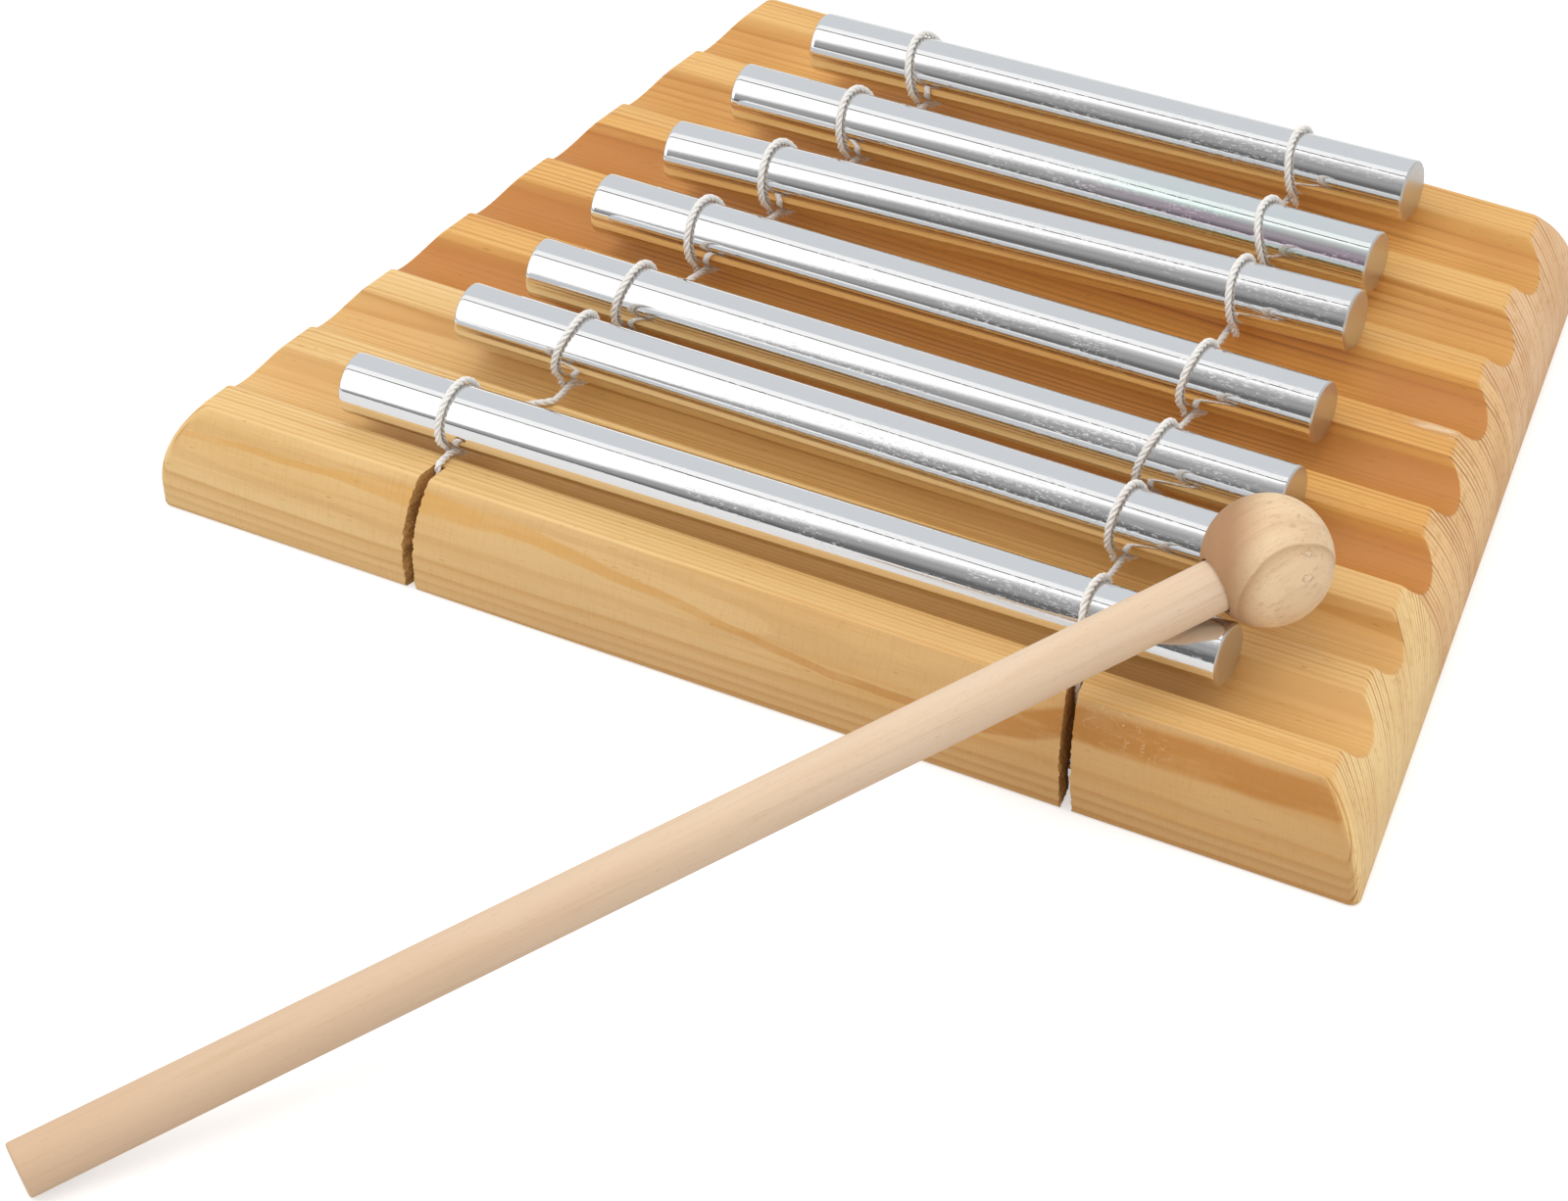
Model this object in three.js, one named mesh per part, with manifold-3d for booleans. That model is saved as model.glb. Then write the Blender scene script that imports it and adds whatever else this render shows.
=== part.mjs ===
// Chime bar set: seven metal rods hitched by two cords to a grooved pine base, and a ball-headed mallet.
// Millimetres. +X runs along the rods to the right, +Y to the back, +Z up. The origin is on the underside.
import * as THREE from 'three';
import { mergeVertices } from 'three/addons/utils/BufferGeometryUtils.js';
import Module from 'manifold-3d';

const wasm = await Module();
wasm.setup();

// Base board: a trapezoid in plan, glued up from staves, with barrel-curved sides.
const baseHeight = 22.8;
const baseDepth = 174.5;
const baseFrontWidth = 254.4;
const baseBackWidth = 182.5;
const footHeight = 5;
const barrelRadius = 26.7;
const footEase = 0.8;
const topEase = 0.5;
const cornerRadius = 1.8;
const staveWidth = 60;

// Coves under the rods, cut right through both ends of the board.
const grooveCount = 7;
const ridgeWidth = 7.46;
const grooveDepth = 5;

// Saw kerfs that lead the cord ends down to the knot pockets.
const kerfWidth = 2;
const kerfLength = 11.2;
const knotPocketRadius = 4.25;
const knotPocketDepth = 5.8;
const frontKerfShares = [-0.5495, 0.5448];
const backKerfShares = [-0.394, 0.394];

// Rods, listed from the shortest at the back to the longest at the front.
const rodDiameter = 12;
const longestRod = 182.9;
const rodChamfer = 0.35;
const rodLengthShares = [0.7037, 0.7523, 0.7944, 0.8453, 0.8786, 0.9377, 1];
const rodShiftShares = [0.0004, -0.0102, -0.0024, 0.0026, 0.0146, 0.0213, -0.0008];
const rodOffsetShares = [0.058, 0.0484, 0.1072, 0.0578, 0.0169, 0.1255, -0.0246];
const rodLiftShares = [1.0358, 1.0083, 1.115, 0.9817, 0.8667, 1.1, 0.9167];
const rodYawSlopes = [0.031, 0.0219, 0.0403, 0.0109, 0.0063, 0.0016, 0.0136];
const rodTiltSlopes = [0.0097, 0.0056, 0.016, 0.0034, 0, 0, 0];

// Cords, one on the left and one on the right.
const cordDiameter = 1.5;
const cordToRod = 0.3;
const cordToBoard = 0.25;
const strandGap = 0.55;
const knotTurnRadius = 2.7;
const knotRise = 3.2;
const knotStraight = 1.6;
const leftCord = {
  name: 'cord_left',
  outward: -1,
  placeShares: [-0.3329, -0.3249, -0.35, -0.359, -0.365, -0.3548, -0.3743],
  leanShares: [0.32, 0.23, 0.17, 0.12, -0.23, -0.37, -0.07],
  hand: [1, 1, 1, 1, 1, 1, 1],
  kerf: 0,
};
const rightCord = {
  name: 'cord_right',
  outward: 1,
  placeShares: [0.3089, 0.3278, 0.3334, 0.3351, 0.332, 0.321, 0.354],
  leanShares: [0.28, 0.47, 0.22, -0.22, -0.38, -0.1, 0.18],
  hand: [1, 1, 1, -1, -1, -1, 1],
  kerf: 1,
};

// Mallet: a turned ball on a slightly tapered dowel.
const ballDiameter = 23.9;
const handleReach = 242.6;
const handleHeadDiameter = 9.7;
const handleGripDiameter = 10.4;
const handleChamfer = 0.6;
const handlePastCentre = 3;
const handleToHole = 0.25;
const handleToHoleEnd = 0.3;
const ballToRods = 0.25;
const gripToTable = 0.1;
const ballPlaceShare = 1.0186;
const handleHeading = -125.6;

// Smoothness of the faceted solids.
const cornerSteps = 3;
const barrelSteps = 8;
const grooveSides = 44;
const rodSides = 32;
const ballSides = 32;
const ballRings = 20;
const handleSides = 24;
const pocketSides = 20;
const cordSides = 6;
const cordTurnDegrees = 15;
const cordStraightStep = 4;
const overrun = 6;

const degree = Math.PI / 180;
const rodRadius = rodDiameter / 2;
const cordRadius = cordDiameter / 2;
const ballRadius = ballDiameter / 2;
const barrelInset = (z) => {
  const rise = Math.max(z - footHeight, 0);
  return barrelRadius - Math.sqrt(barrelRadius ** 2 - rise ** 2);
};
const topDepth = baseDepth - 2 * barrelInset(baseHeight);
const groovePitch = (topDepth - ridgeWidth) / grooveCount;
const grooveWidth = groovePitch - ridgeWidth;
const grooveRadius = ((grooveWidth / 2) ** 2 + grooveDepth ** 2) / (2 * grooveDepth);
const grooveAxisZ = baseHeight - grooveDepth + grooveRadius;
const sideSlope = (baseFrontWidth - baseBackWidth) / 2 / baseDepth;
const grooveY = (index) => (topDepth - ridgeWidth) / 2 - groovePitch * (index + 1 / 2);

function material(colour, roughness, metalness) {
  return new THREE.MeshStandardMaterial({ color: colour, roughness, metalness, flatShading: true });
}

const pineLight = material('#e9c182', 0.55, 0);
const pineAmber = material('#e3aa68', 0.55, 0);
const pineGold = material('#e4b470', 0.55, 0);
const aluminium = material('#c9cbce', 0.22, 1);
const cotton = material('#e6e0d4', 0.95, 0);
const beech = material('#e2bd8c', 0.6, 0);
const birch = material('#e8cba0', 0.6, 0);

// Turns a closed three.js geometry into a manifold solid.
function solid(geometry) {
  const bare = geometry.clone();
  bare.deleteAttribute('normal');
  bare.deleteAttribute('uv');
  const merged = mergeVertices(bare, cordToBoard / 1000);
  const index = merged.index.array;
  const kept = [];
  for (let i = 0; i < index.length; i += 3) {
    const [a, b, c] = [index[i], index[i + 1], index[i + 2]];
    if (a !== b && b !== c && c !== a) {
      kept.push(a, b, c);
    }
  }
  return new wasm.Manifold(new wasm.Mesh({
    numProp: 3,
    vertProperties: Float32Array.from(merged.attributes.position.array),
    triVerts: Uint32Array.from(kept),
  }));
}

function geometryOf(body) {
  const mesh = body.getMesh();
  const geometry = new THREE.BufferGeometry();
  geometry.setAttribute('position', new THREE.BufferAttribute(Float32Array.from(mesh.vertProperties), 3));
  geometry.setIndex(Array.from(mesh.triVerts));
  geometry.computeVertexNormals();
  return geometry;
}

function placed(geometry, position, turnX = 0, turnY = 0, turnZ = 0) {
  const matrix = new THREE.Matrix4().makeRotationFromEuler(new THREE.Euler(turnX, turnY, turnZ));
  matrix.setPosition(position);
  return solid(geometry.clone().applyMatrix4(matrix));
}

// Rounded trapezoid at one height, set in from the foot outline.
function boardRing(inset, z) {
  const halfDepth = baseDepth / 2 - inset;
  const sideInset = inset * Math.hypot(1, sideSlope);
  const halfWidth = (y) => (baseFrontWidth + baseBackWidth) / 4 - sideSlope * y - sideInset;
  const corners = [
    new THREE.Vector2(-halfWidth(-halfDepth), -halfDepth),
    new THREE.Vector2(halfWidth(-halfDepth), -halfDepth),
    new THREE.Vector2(halfWidth(halfDepth), halfDepth),
    new THREE.Vector2(-halfWidth(halfDepth), halfDepth),
  ];
  const ring = [];
  corners.forEach((corner, i) => {
    const before = corners[(i + 3) % 4].clone().sub(corner).normalize();
    const after = corners[(i + 1) % 4].clone().sub(corner).normalize();
    const half = Math.acos(before.dot(after)) / 2;
    const run = cornerRadius / Math.tan(half);
    const centre = before.clone().add(after).normalize().multiplyScalar(cornerRadius / Math.sin(half));
    centre.add(corner);
    const from = corner.clone().addScaledVector(before, run).sub(centre).angle();
    const to = corner.clone().addScaledVector(after, run).sub(centre).angle();
    const sweep = ((to - from) / Math.PI + 3) % 2 - 1;
    for (let k = 0; k <= cornerSteps; k += 1) {
      const angle = from + sweep * Math.PI * k / cornerSteps;
      const x = centre.x + cornerRadius * Math.cos(angle);
      const y = centre.y + cornerRadius * Math.sin(angle);
      ring.push(new THREE.Vector3(x, y, z));
    }
  });
  return ring;
}

// Joins rings of equal length into one closed body, with flat caps or a cap point at each end.
function loft(rings) {
  const count = rings[0].length;
  const positions = rings.flat().flatMap((p) => [p.x, p.y, p.z]);
  const index = [];
  for (let r = 0; r + 1 < rings.length; r += 1) {
    for (let k = 0; k < count; k += 1) {
      const a = r * count + k;
      const b = r * count + (k + 1) % count;
      index.push(a, b, b + count, a, b + count, a + count);
    }
  }
  const last = (rings.length - 1) * count;
  for (let k = 1; k + 1 < count; k += 1) {
    index.push(0, k + 1, k, last, last + k, last + k + 1);
  }
  const geometry = new THREE.BufferGeometry();
  geometry.setAttribute('position', new THREE.Float32BufferAttribute(positions, 3));
  geometry.setIndex(index);
  geometry.computeVertexNormals();
  return geometry;
}

function boardBody() {
  const rings = [boardRing(footEase, 0)];
  rings.push(boardRing(footEase / 4, footEase / 4));
  rings.push(boardRing(0, footEase));
  const curveTop = baseHeight - topEase;
  const fullAngle = Math.asin((curveTop - footHeight) / barrelRadius);
  for (let k = 0; k <= barrelSteps; k += 1) {
    const z = footHeight + barrelRadius * Math.sin(fullAngle * k / barrelSteps);
    rings.push(boardRing(barrelInset(z), z));
  }
  rings.push(boardRing(barrelInset(curveTop) + topEase * 3 / 2, baseHeight));
  return solid(loft(rings));
}

// Where a kerf's cord drops: the kerf runs parallel to the near end of the board.
function kerfPlace(side, back) {
  const share = back ? backKerfShares[side] : frontKerfShares[side];
  const footX = share * (back ? baseBackWidth : baseFrontWidth) / 2;
  const footY = (back ? 1 : -1) * baseDepth / 2;
  const inward = back ? -1 : 1;
  const slope = -Math.sign(share) * sideSlope;
  const endY = footY + inward * kerfLength;
  const dropY = endY - inward * (cordRadius + cordToBoard);
  const xAt = (y) => footX + slope * (y - footY);
  return { footX, footY, endY, dropY, dropX: xAt(dropY), xAt, slope, inward };
}

function kerfCuts(side, back) {
  const kerf = kerfPlace(side, back);
  const length = kerfLength + overrun;
  const height = baseHeight + 2 * overrun;
  const middleY = kerf.endY - kerf.inward * length / 2;
  const slot = new THREE.BoxGeometry(kerfWidth * Math.hypot(1, kerf.slope), length, height);
  slot.applyMatrix4(new THREE.Matrix4().makeShear(0, 0, kerf.slope, 0, 0, 0));
  const slotBody = placed(slot, new THREE.Vector3(kerf.xAt(middleY), middleY, baseHeight / 2));
  const pocketHeight = knotPocketDepth + overrun;
  const pocket = new THREE.CylinderGeometry(knotPocketRadius, knotPocketRadius, pocketHeight, pocketSides);
  const pocketZ = knotPocketDepth - pocketHeight / 2;
  const pocketBody = placed(pocket, new THREE.Vector3(kerf.dropX, kerf.dropY, pocketZ), Math.PI / 2);
  return [slotBody, pocketBody];
}

function buildBase() {
  let board = boardBody();
  const cutLength = baseFrontWidth + 2 * overrun;
  for (let i = 0; i < grooveCount; i += 1) {
    const cutter = new THREE.CylinderGeometry(grooveRadius, grooveRadius, cutLength, grooveSides);
    board = board.subtract(placed(cutter, new THREE.Vector3(0, grooveY(i), grooveAxisZ), 0, 0, Math.PI / 2));
  }
  for (const side of [0, 1]) {
    for (const back of [false, true]) {
      for (const cut of kerfCuts(side, back)) {
        board = board.subtract(cut);
      }
    }
  }
  const front = -baseDepth / 2;
  const joints = [front - overrun, front + staveWidth, front + 2 * staveWidth, -front + overrun];
  const staves = [
    ['base_front_stave', pineLight],
    ['base_middle_stave', pineAmber],
    ['base_back_stave', pineGold],
  ];
  const group = new THREE.Group();
  staves.forEach(([name, wood], i) => {
    const depth = joints[i + 1] - joints[i];
    const block = new THREE.BoxGeometry(cutLength, depth, baseHeight + 2 * overrun);
    const middle = new THREE.Vector3(0, (joints[i] + joints[i + 1]) / 2, baseHeight / 2);
    const mesh = new THREE.Mesh(geometryOf(board.intersect(placed(block, middle))), wood);
    mesh.name = name;
    group.add(mesh);
  });
  return group;
}

// Every rod's middle, length and direction.
const rods = rodLengthShares.map((share, i) => {
  const length = longestRod * share;
  const direction = new THREE.Vector3(1, rodYawSlopes[i], rodTiltSlopes[i]).normalize();
  const middle = new THREE.Vector3(
    length * rodShiftShares[i],
    grooveY(i) + groovePitch * rodOffsetShares[i],
    baseHeight + rodRadius * rodLiftShares[i],
  );
  const at = (x) => middle.clone().addScaledVector(direction, (x - middle.x) / direction.x);
  return { length, direction, middle, at };
});

function lathe(profile, sides) {
  const points = profile.map(([radius, along]) => new THREE.Vector2(radius, along));
  return geometryOf(solid(new THREE.LatheGeometry(points, sides)));
}

function buildRods() {
  const group = new THREE.Group();
  rods.forEach((rod, i) => {
    const half = rod.length / 2;
    const profile = [
      [0, -half],
      [rodRadius - rodChamfer, -half],
      [rodRadius, rodChamfer - half],
      [rodRadius, half - rodChamfer],
      [rodRadius - rodChamfer, half],
      [0, half],
    ];
    const mesh = new THREE.Mesh(lathe(profile, rodSides), aluminium);
    mesh.quaternion.setFromUnitVectors(new THREE.Vector3(0, 1, 0), rod.direction);
    mesh.position.copy(rod.middle);
    mesh.name = `rod_${i + 1}`;
    group.add(mesh);
  });
  return group;
}

// The cord's route. Each rod gets one hitch: the cord comes in over the ridge behind the rod,
// dips under it, climbs the front, goes over the top and down the back, and leaves under the rod
// above its own incoming strand. Angles run from straight down, positive towards the back.
const loopRadius = rodRadius + cordToRod + cordRadius;
const strandPitch = cordDiameter + strandGap;
const crossRadius = loopRadius + cordDiameter + strandGap;
const rideHeight = baseHeight + cordRadius + cordToBoard;

function smooth(value) {
  const t = Math.min(Math.max(value, 0), 1);
  return t * t * (3 - 2 * t);
}

// Farthest the cord can hang from the rod in one direction before it nears the cove's wall.
function roomBelow(centre, index, angle) {
  const toAxisY = grooveY(index) - centre.y;
  const toAxisZ = grooveAxisZ - centre.z;
  const room = grooveRadius - cordRadius - cordToBoard;
  const along = Math.sin(angle) * toAxisY - Math.cos(angle) * toAxisZ;
  return along + Math.sqrt(Math.max(along ** 2 - toAxisY ** 2 - toAxisZ ** 2 + room ** 2, 0));
}

// The point where the cord passes between a ridge's edge and the rod.
function pastEdge(centre, edgeY, x) {
  const edge = new THREE.Vector2(edgeY, baseHeight);
  const towards = new THREE.Vector2(centre.y, centre.z).sub(edge);
  const spare = (towards.length() - rodRadius) / 2;
  const stand = Math.min(cordRadius + cordToBoard + cordToRod / 2, spare);
  edge.addScaledVector(towards.normalize(), stand);
  return new THREE.Vector3(x, edge.x, edge.y);
}

function hitch(cord, index) {
  const rod = rods[index];
  const topX = rod.middle.x + rod.length * cord.placeShares[index];
  const centre = rod.at(topX);
  const frontX = topX + rodRadius * cord.leanShares[index];
  const inner = -cord.outward * cord.hand[index] * strandPitch;
  const leaveX = frontX + inner;
  const enterX = frontX + inner * 2.2;
  const at = (angle, radius, x) => new THREE.Vector3(
    x,
    centre.y + radius * Math.sin(angle),
    centre.z - radius * Math.cos(angle),
  );
  const backEdge = grooveY(index) + grooveWidth / 2;
  const frontEdge = grooveY(index) - grooveWidth / 2;
  const deepest = Math.atan2(grooveY(index) - centre.y, centre.z - grooveAxisZ);
  const cross = deepest * 0.15;
  const points = [];
  const edgeRun = cordRadius / 3;
  const clearOfLoop = centre.y + loopRadius + cordRadius;
  if (clearOfLoop > backEdge + 3 * edgeRun) {
    points.push(new THREE.Vector3(enterX, clearOfLoop, rideHeight));
  }
  points.push(new THREE.Vector3(enterX, backEdge + edgeRun, rideHeight));
  points.push(pastEdge(centre, backEdge, enterX));
  const dips = [[22, 0], [11, 0.22], [0, 0.5], [-11, 0.78], [-22, 1]];
  for (const [offset, share] of dips) {
    const angle = cross + offset * degree;
    const radius = Math.min(crossRadius, roomBelow(centre, index, angle));
    points.push(at(angle, radius, enterX + (frontX - enterX) * share));
  }
  const climb = cross - 38 * degree;
  const climbRadius = Math.min((crossRadius + loopRadius) / 2, roomBelow(centre, index, climb));
  points.push(at(climb, Math.max(climbRadius, loopRadius), frontX));
  for (let angle = -70; angle >= -180; angle -= 15) {
    const share = smooth((-angle - 70) / 110);
    points.push(at(angle * degree, loopRadius, frontX + (topX - frontX) * share));
  }
  for (let angle = 165; angle >= -15; angle -= 15) {
    const share = smooth((165 - angle) / 130);
    points.push(at(angle * degree, loopRadius, topX + (leaveX - topX) * share));
  }
  const exit = pastEdge(centre, frontEdge, leaveX);
  const exitReach = Math.hypot(exit.y - centre.y, exit.z - centre.z);
  const exitAngle = Math.atan2(exit.y - centre.y, centre.z - exit.z) / degree;
  const letGo = exitAngle + Math.acos(Math.min(loopRadius / exitReach, 1)) / degree;
  for (let angle = -25; angle > letGo + 5; angle -= 10) {
    points.push(at(angle * degree, loopRadius, leaveX));
  }
  points.push(exit);
  points.push(new THREE.Vector3(leaveX, frontEdge - edgeRun, rideHeight));
  return points;
}

// One cord end, from the ridge down its kerf to the stopper knot in the pocket.
function cordEnd(side, back) {
  const kerf = kerfPlace(side, back);
  const stand = cordRadius + cordToBoard;
  const points = [];
  for (const angle of [0, 30, 60, 90]) {
    const y = kerf.endY - kerf.inward * stand * Math.sin(angle * degree);
    const z = baseHeight + stand * Math.cos(angle * degree);
    points.push(new THREE.Vector3(kerf.xAt(y), y, z));
  }
  const turnZ = cordRadius + cordToBoard * 2;
  for (const share of [0.85, 0.6, 0.35]) {
    points.push(new THREE.Vector3(kerf.dropX, kerf.dropY, baseHeight * share));
  }
  const around = (radius, angle, z) => new THREE.Vector3(
    kerf.dropX + radius * Math.cos(angle * degree),
    kerf.dropY + radius * Math.sin(angle * degree),
    z,
  );
  const leaveZ = turnZ + knotRise;
  points.push(around(0, 0, leaveZ + knotRise / 4));
  points.push(around(knotTurnRadius * 0.07, -110, leaveZ - knotRise * 0.25));
  points.push(around(knotTurnRadius * 0.4, -80, leaveZ - knotRise * 0.62));
  points.push(around(knotTurnRadius * 0.8, -40, leaveZ - knotRise * 0.9));
  for (let angle = 0; angle <= 300; angle += 30) {
    points.push(around(knotTurnRadius, angle, turnZ + knotRise * angle / 360));
  }
  const last = points[points.length - 1];
  const tangent = new THREE.Vector3(-Math.sin(300 * degree), Math.cos(300 * degree), 0);
  points.push(last.clone().addScaledVector(tangent, knotStraight));
  return points;
}

function cordRoute(cord) {
  const points = cordEnd(cord.kerf, true).reverse();
  for (let i = 0; i < rods.length; i += 1) {
    points.push(...hitch(cord, i));
  }
  points.push(...cordEnd(cord.kerf, false));
  const curve = new THREE.CatmullRomCurve3(points, false, 'centripetal');
  const fine = curve.getPoints(points.length * 12);
  const route = [fine[0]];
  let kept = 0;
  let run = 0;
  let turn = 0;
  for (let i = 1; i + 1 < fine.length; i += 1) {
    const into = fine[i].clone().sub(fine[i - 1]);
    const out = fine[i + 1].clone().sub(fine[i]);
    run += into.length();
    turn += into.angleTo(out);
    if (turn >= cordTurnDegrees * degree || run >= cordStraightStep) {
      route.push(fine[i]);
      kept = i;
      run = 0;
      turn = 0;
    }
  }
  if (kept < fine.length - 1) {
    route.push(fine[fine.length - 1]);
  }
  return route;
}

// One unbroken tube with flat ends along the route.
function tube(route, radius, sides) {
  const rings = [];
  let across = new THREE.Vector3(0, 0, 1);
  route.forEach((point, i) => {
    const before = route[Math.max(i - 1, 0)];
    const after = route[Math.min(i + 1, route.length - 1)];
    const tangent = after.clone().sub(before).normalize();
    if (Math.abs(across.dot(tangent)) > 0.99) {
      across = new THREE.Vector3(0, 1, 0);
    }
    across = across.clone().addScaledVector(tangent, -across.dot(tangent)).normalize();
    const up = tangent.clone().cross(across);
    const ring = [];
    for (let k = 0; k < sides; k += 1) {
      const angle = 2 * Math.PI * k / sides;
      const corner = point.clone().addScaledVector(across, radius * Math.cos(angle));
      ring.push(corner.addScaledVector(up, radius * Math.sin(angle)));
    }
    rings.push(ring);
  });
  return loft(rings);
}

// Least clear distance between stretches of one cord that are not neighbours along it.
function leastOwnGap(route) {
  const along = [0];
  for (let i = 1; i < route.length; i += 1) {
    along.push(along[i - 1] + route[i].distanceTo(route[i - 1]));
  }
  const dense = [];
  for (let i = 0; i + 1 < route.length; i += 1) {
    for (const share of [0, 0.25, 0.5, 0.75]) {
      const point = route[i].clone().lerp(route[i + 1], share);
      dense.push([point, along[i] + share * (along[i + 1] - along[i])]);
    }
  }
  let least = Infinity;
  for (let i = 0; i < dense.length; i += 1) {
    for (let j = i + 1; j < dense.length; j += 1) {
      if (dense[j][1] - dense[i][1] > 3 * cordDiameter) {
        least = Math.min(least, dense[i][0].distanceTo(dense[j][0]));
      }
    }
  }
  return { gap: least - cordDiameter, length: along[along.length - 1] };
}

function buildCords() {
  const group = new THREE.Group();
  for (const cord of [leftCord, rightCord]) {
    const route = cordRoute(cord);
    const { gap, length } = leastOwnGap(route);
    console.log(`${cord.name}: ${length.toFixed(0)} mm long, least gap to itself ${gap.toFixed(2)} mm`);
    const mesh = new THREE.Mesh(tube(route, cordRadius, cordSides), cotton);
    mesh.name = cord.name;
    group.add(mesh);
  }
  return group;
}

// The ball lies in the trough between the two longest rods, just past their right ends.
function ballCentre() {
  const x = longestRod / 2 * ballPlaceShare;
  const seats = [rods[rods.length - 1], rods[rods.length - 2]].map((rod) => {
    const endX = rod.middle.x + rod.direction.x * rod.length / 2;
    const end = rod.at(Math.min(endX, x));
    const past = Math.max(x - endX, 0);
    const distance = rodRadius + Math.sqrt((ballRadius + ballToRods) ** 2 - past ** 2);
    return { y: end.y, z: end.z, distance };
  });
  const [near, far] = seats;
  const apart = Math.hypot(far.y - near.y, far.z - near.z);
  const along = (near.distance ** 2 - far.distance ** 2 + apart ** 2) / (2 * apart);
  const rise = Math.sqrt(near.distance ** 2 - along ** 2);
  const unitY = (far.y - near.y) / apart;
  const unitZ = (far.z - near.z) / apart;
  return new THREE.Vector3(
    x,
    near.y + along * unitY - rise * unitZ,
    near.z + along * unitZ + rise * unitY,
  );
}

function buildMallet() {
  const centre = ballCentre();
  const gripRadius = handleGripDiameter / 2;
  const headRadius = handleHeadDiameter / 2;
  const slope = Math.asin((centre.z - gripToTable) / Math.hypot(handleReach, gripRadius))
    - Math.atan2(gripRadius, handleReach);
  const heading = handleHeading * degree;
  const direction = new THREE.Vector3(
    Math.cos(heading) * Math.cos(slope),
    Math.sin(heading) * Math.cos(slope),
    -Math.sin(slope),
  );
  const holeRadius = headRadius + handleToHole;
  const holeBottom = -handlePastCentre - handleToHoleEnd;
  const holeLength = ballRadius + overrun - holeBottom;
  const hole = new THREE.CylinderGeometry(holeRadius, holeRadius, holeLength, handleSides);
  const holeBody = placed(hole, new THREE.Vector3(0, holeBottom + holeLength / 2, 0));
  const ball = solid(new THREE.SphereGeometry(ballRadius, ballSides, ballRings)).subtract(holeBody);
  const head = new THREE.Mesh(geometryOf(ball), birch);
  head.name = 'mallet_head';
  const profile = [
    [0, -handlePastCentre],
    [headRadius, -handlePastCentre],
    [headRadius, ballRadius * 2],
    [gripRadius, handleReach - handleChamfer],
    [gripRadius - handleChamfer, handleReach],
    [0, handleReach],
  ];
  const handle = new THREE.Mesh(lathe(profile, handleSides), beech);
  handle.name = 'mallet_handle';
  const group = new THREE.Group();
  group.position.copy(centre);
  group.quaternion.setFromUnitVectors(new THREE.Vector3(0, 1, 0), direction);
  group.add(handle, head);
  return group;
}

const chimeBarSet = new THREE.Group();
chimeBarSet.add(buildBase(), buildRods(), buildCords(), buildMallet());

export default chimeBarSet;
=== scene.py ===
# Chime bar set: seven aluminium rods hitched by two cotton cords to a grooved pine base, and a wooden mallet.
# Sizes are in millimetres, and the finished meshes in metres. +X runs along the rods to the right, +Y to the
# back, +Z up. The origin is on the underside.
import bmesh
import bpy
import math
import numpy as np
from functools import partial
from mathutils import Matrix, Vector, noise


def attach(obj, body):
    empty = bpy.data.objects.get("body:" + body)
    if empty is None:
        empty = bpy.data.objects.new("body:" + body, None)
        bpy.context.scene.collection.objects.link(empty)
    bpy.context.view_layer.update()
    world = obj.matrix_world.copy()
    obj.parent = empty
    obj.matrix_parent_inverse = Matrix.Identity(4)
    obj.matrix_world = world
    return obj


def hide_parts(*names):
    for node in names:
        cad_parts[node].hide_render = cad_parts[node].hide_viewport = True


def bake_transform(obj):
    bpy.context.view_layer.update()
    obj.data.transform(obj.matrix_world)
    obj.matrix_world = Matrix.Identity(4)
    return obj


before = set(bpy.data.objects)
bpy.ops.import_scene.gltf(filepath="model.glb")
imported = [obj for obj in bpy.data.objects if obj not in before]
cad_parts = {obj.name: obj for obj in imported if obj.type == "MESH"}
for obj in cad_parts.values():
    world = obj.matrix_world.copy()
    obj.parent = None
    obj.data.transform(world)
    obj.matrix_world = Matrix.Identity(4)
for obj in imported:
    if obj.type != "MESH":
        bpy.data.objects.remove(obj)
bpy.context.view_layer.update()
mm = 0.001
soft = {"interpolation_type": "SMOOTHSTEP"}  # for masks that fade in and out


def linear(hexColour):
    values = [int(hexColour[i:i + 2], 16) / 255 for i in (1, 3, 5)]
    return tuple(v / 12.92 if v <= 0.04045 else ((v + 0.055) / 1.055) ** 2.4 for v in values) + (1.0,)


# Adds a shader node with its settings, and fills its inputs, in their order or by name, with values or links.
# It gives the node's output, or all of its outputs where it has several.
def addNode(tree, kind, *inputs, stops=(), **settings):
    node = tree.nodes.new("ShaderNode" + kind)
    for key, value in settings.items():
        setattr(node, key, value)
    for place, value in stops[2:]:
        node.color_ramp.elements.new(place)
    for index, (place, value) in enumerate(stops):
        element = node.color_ramp.elements[index]
        element.position = place
        element.color = value if isinstance(value, tuple) else (value, value, value, 1.0)
    sockets = [socket for socket in node.inputs if socket.enabled]
    if inputs and isinstance(inputs[0], dict):
        sockets = [node.inputs[name] for name in inputs[0]]
        inputs = inputs[0].values()
    for socket, value in zip(sockets, inputs):
        if isinstance(value, bpy.types.NodeSocket):
            tree.links.new(value, socket)
        else:
            socket.default_value = value
    outputs = [socket for socket in node.outputs if socket.enabled]
    return outputs[0] if len(outputs) == 1 else node.outputs


# Noise whose grain sizes along the three axes are given in millimetres.
def grain(add, point, sizes, detail=2.0, roughness=0.5, shift=0.0):
    scales, shifts = tuple(1 / size for size in sizes), (shift, shift * 1.7, shift * 0.6)
    scaled = add("VectorMath", point, scales, shifts, operation="MULTIPLY_ADD")
    return add("TexNoise", scaled, 1.0, detail, roughness)[0]


# The same noise, but swinging about zero.
def swinging(add, *grainValues):
    return add("Math", grain(add, *grainValues), 0.5, operation="SUBTRACT")


# How far several masks apply together.
def whereAll(add, *masks):
    share = masks[0]
    for mask in masks[1:]:
        share = add("Math", share, mask, operation="MULTIPLY")
    return share


# Lays a tone over a colour where all the masks apply.
def tinted(add, colour, tone, *masks):
    return add("Mix", whereAll(add, *masks), colour, linear(tone), data_type="RGBA")


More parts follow.
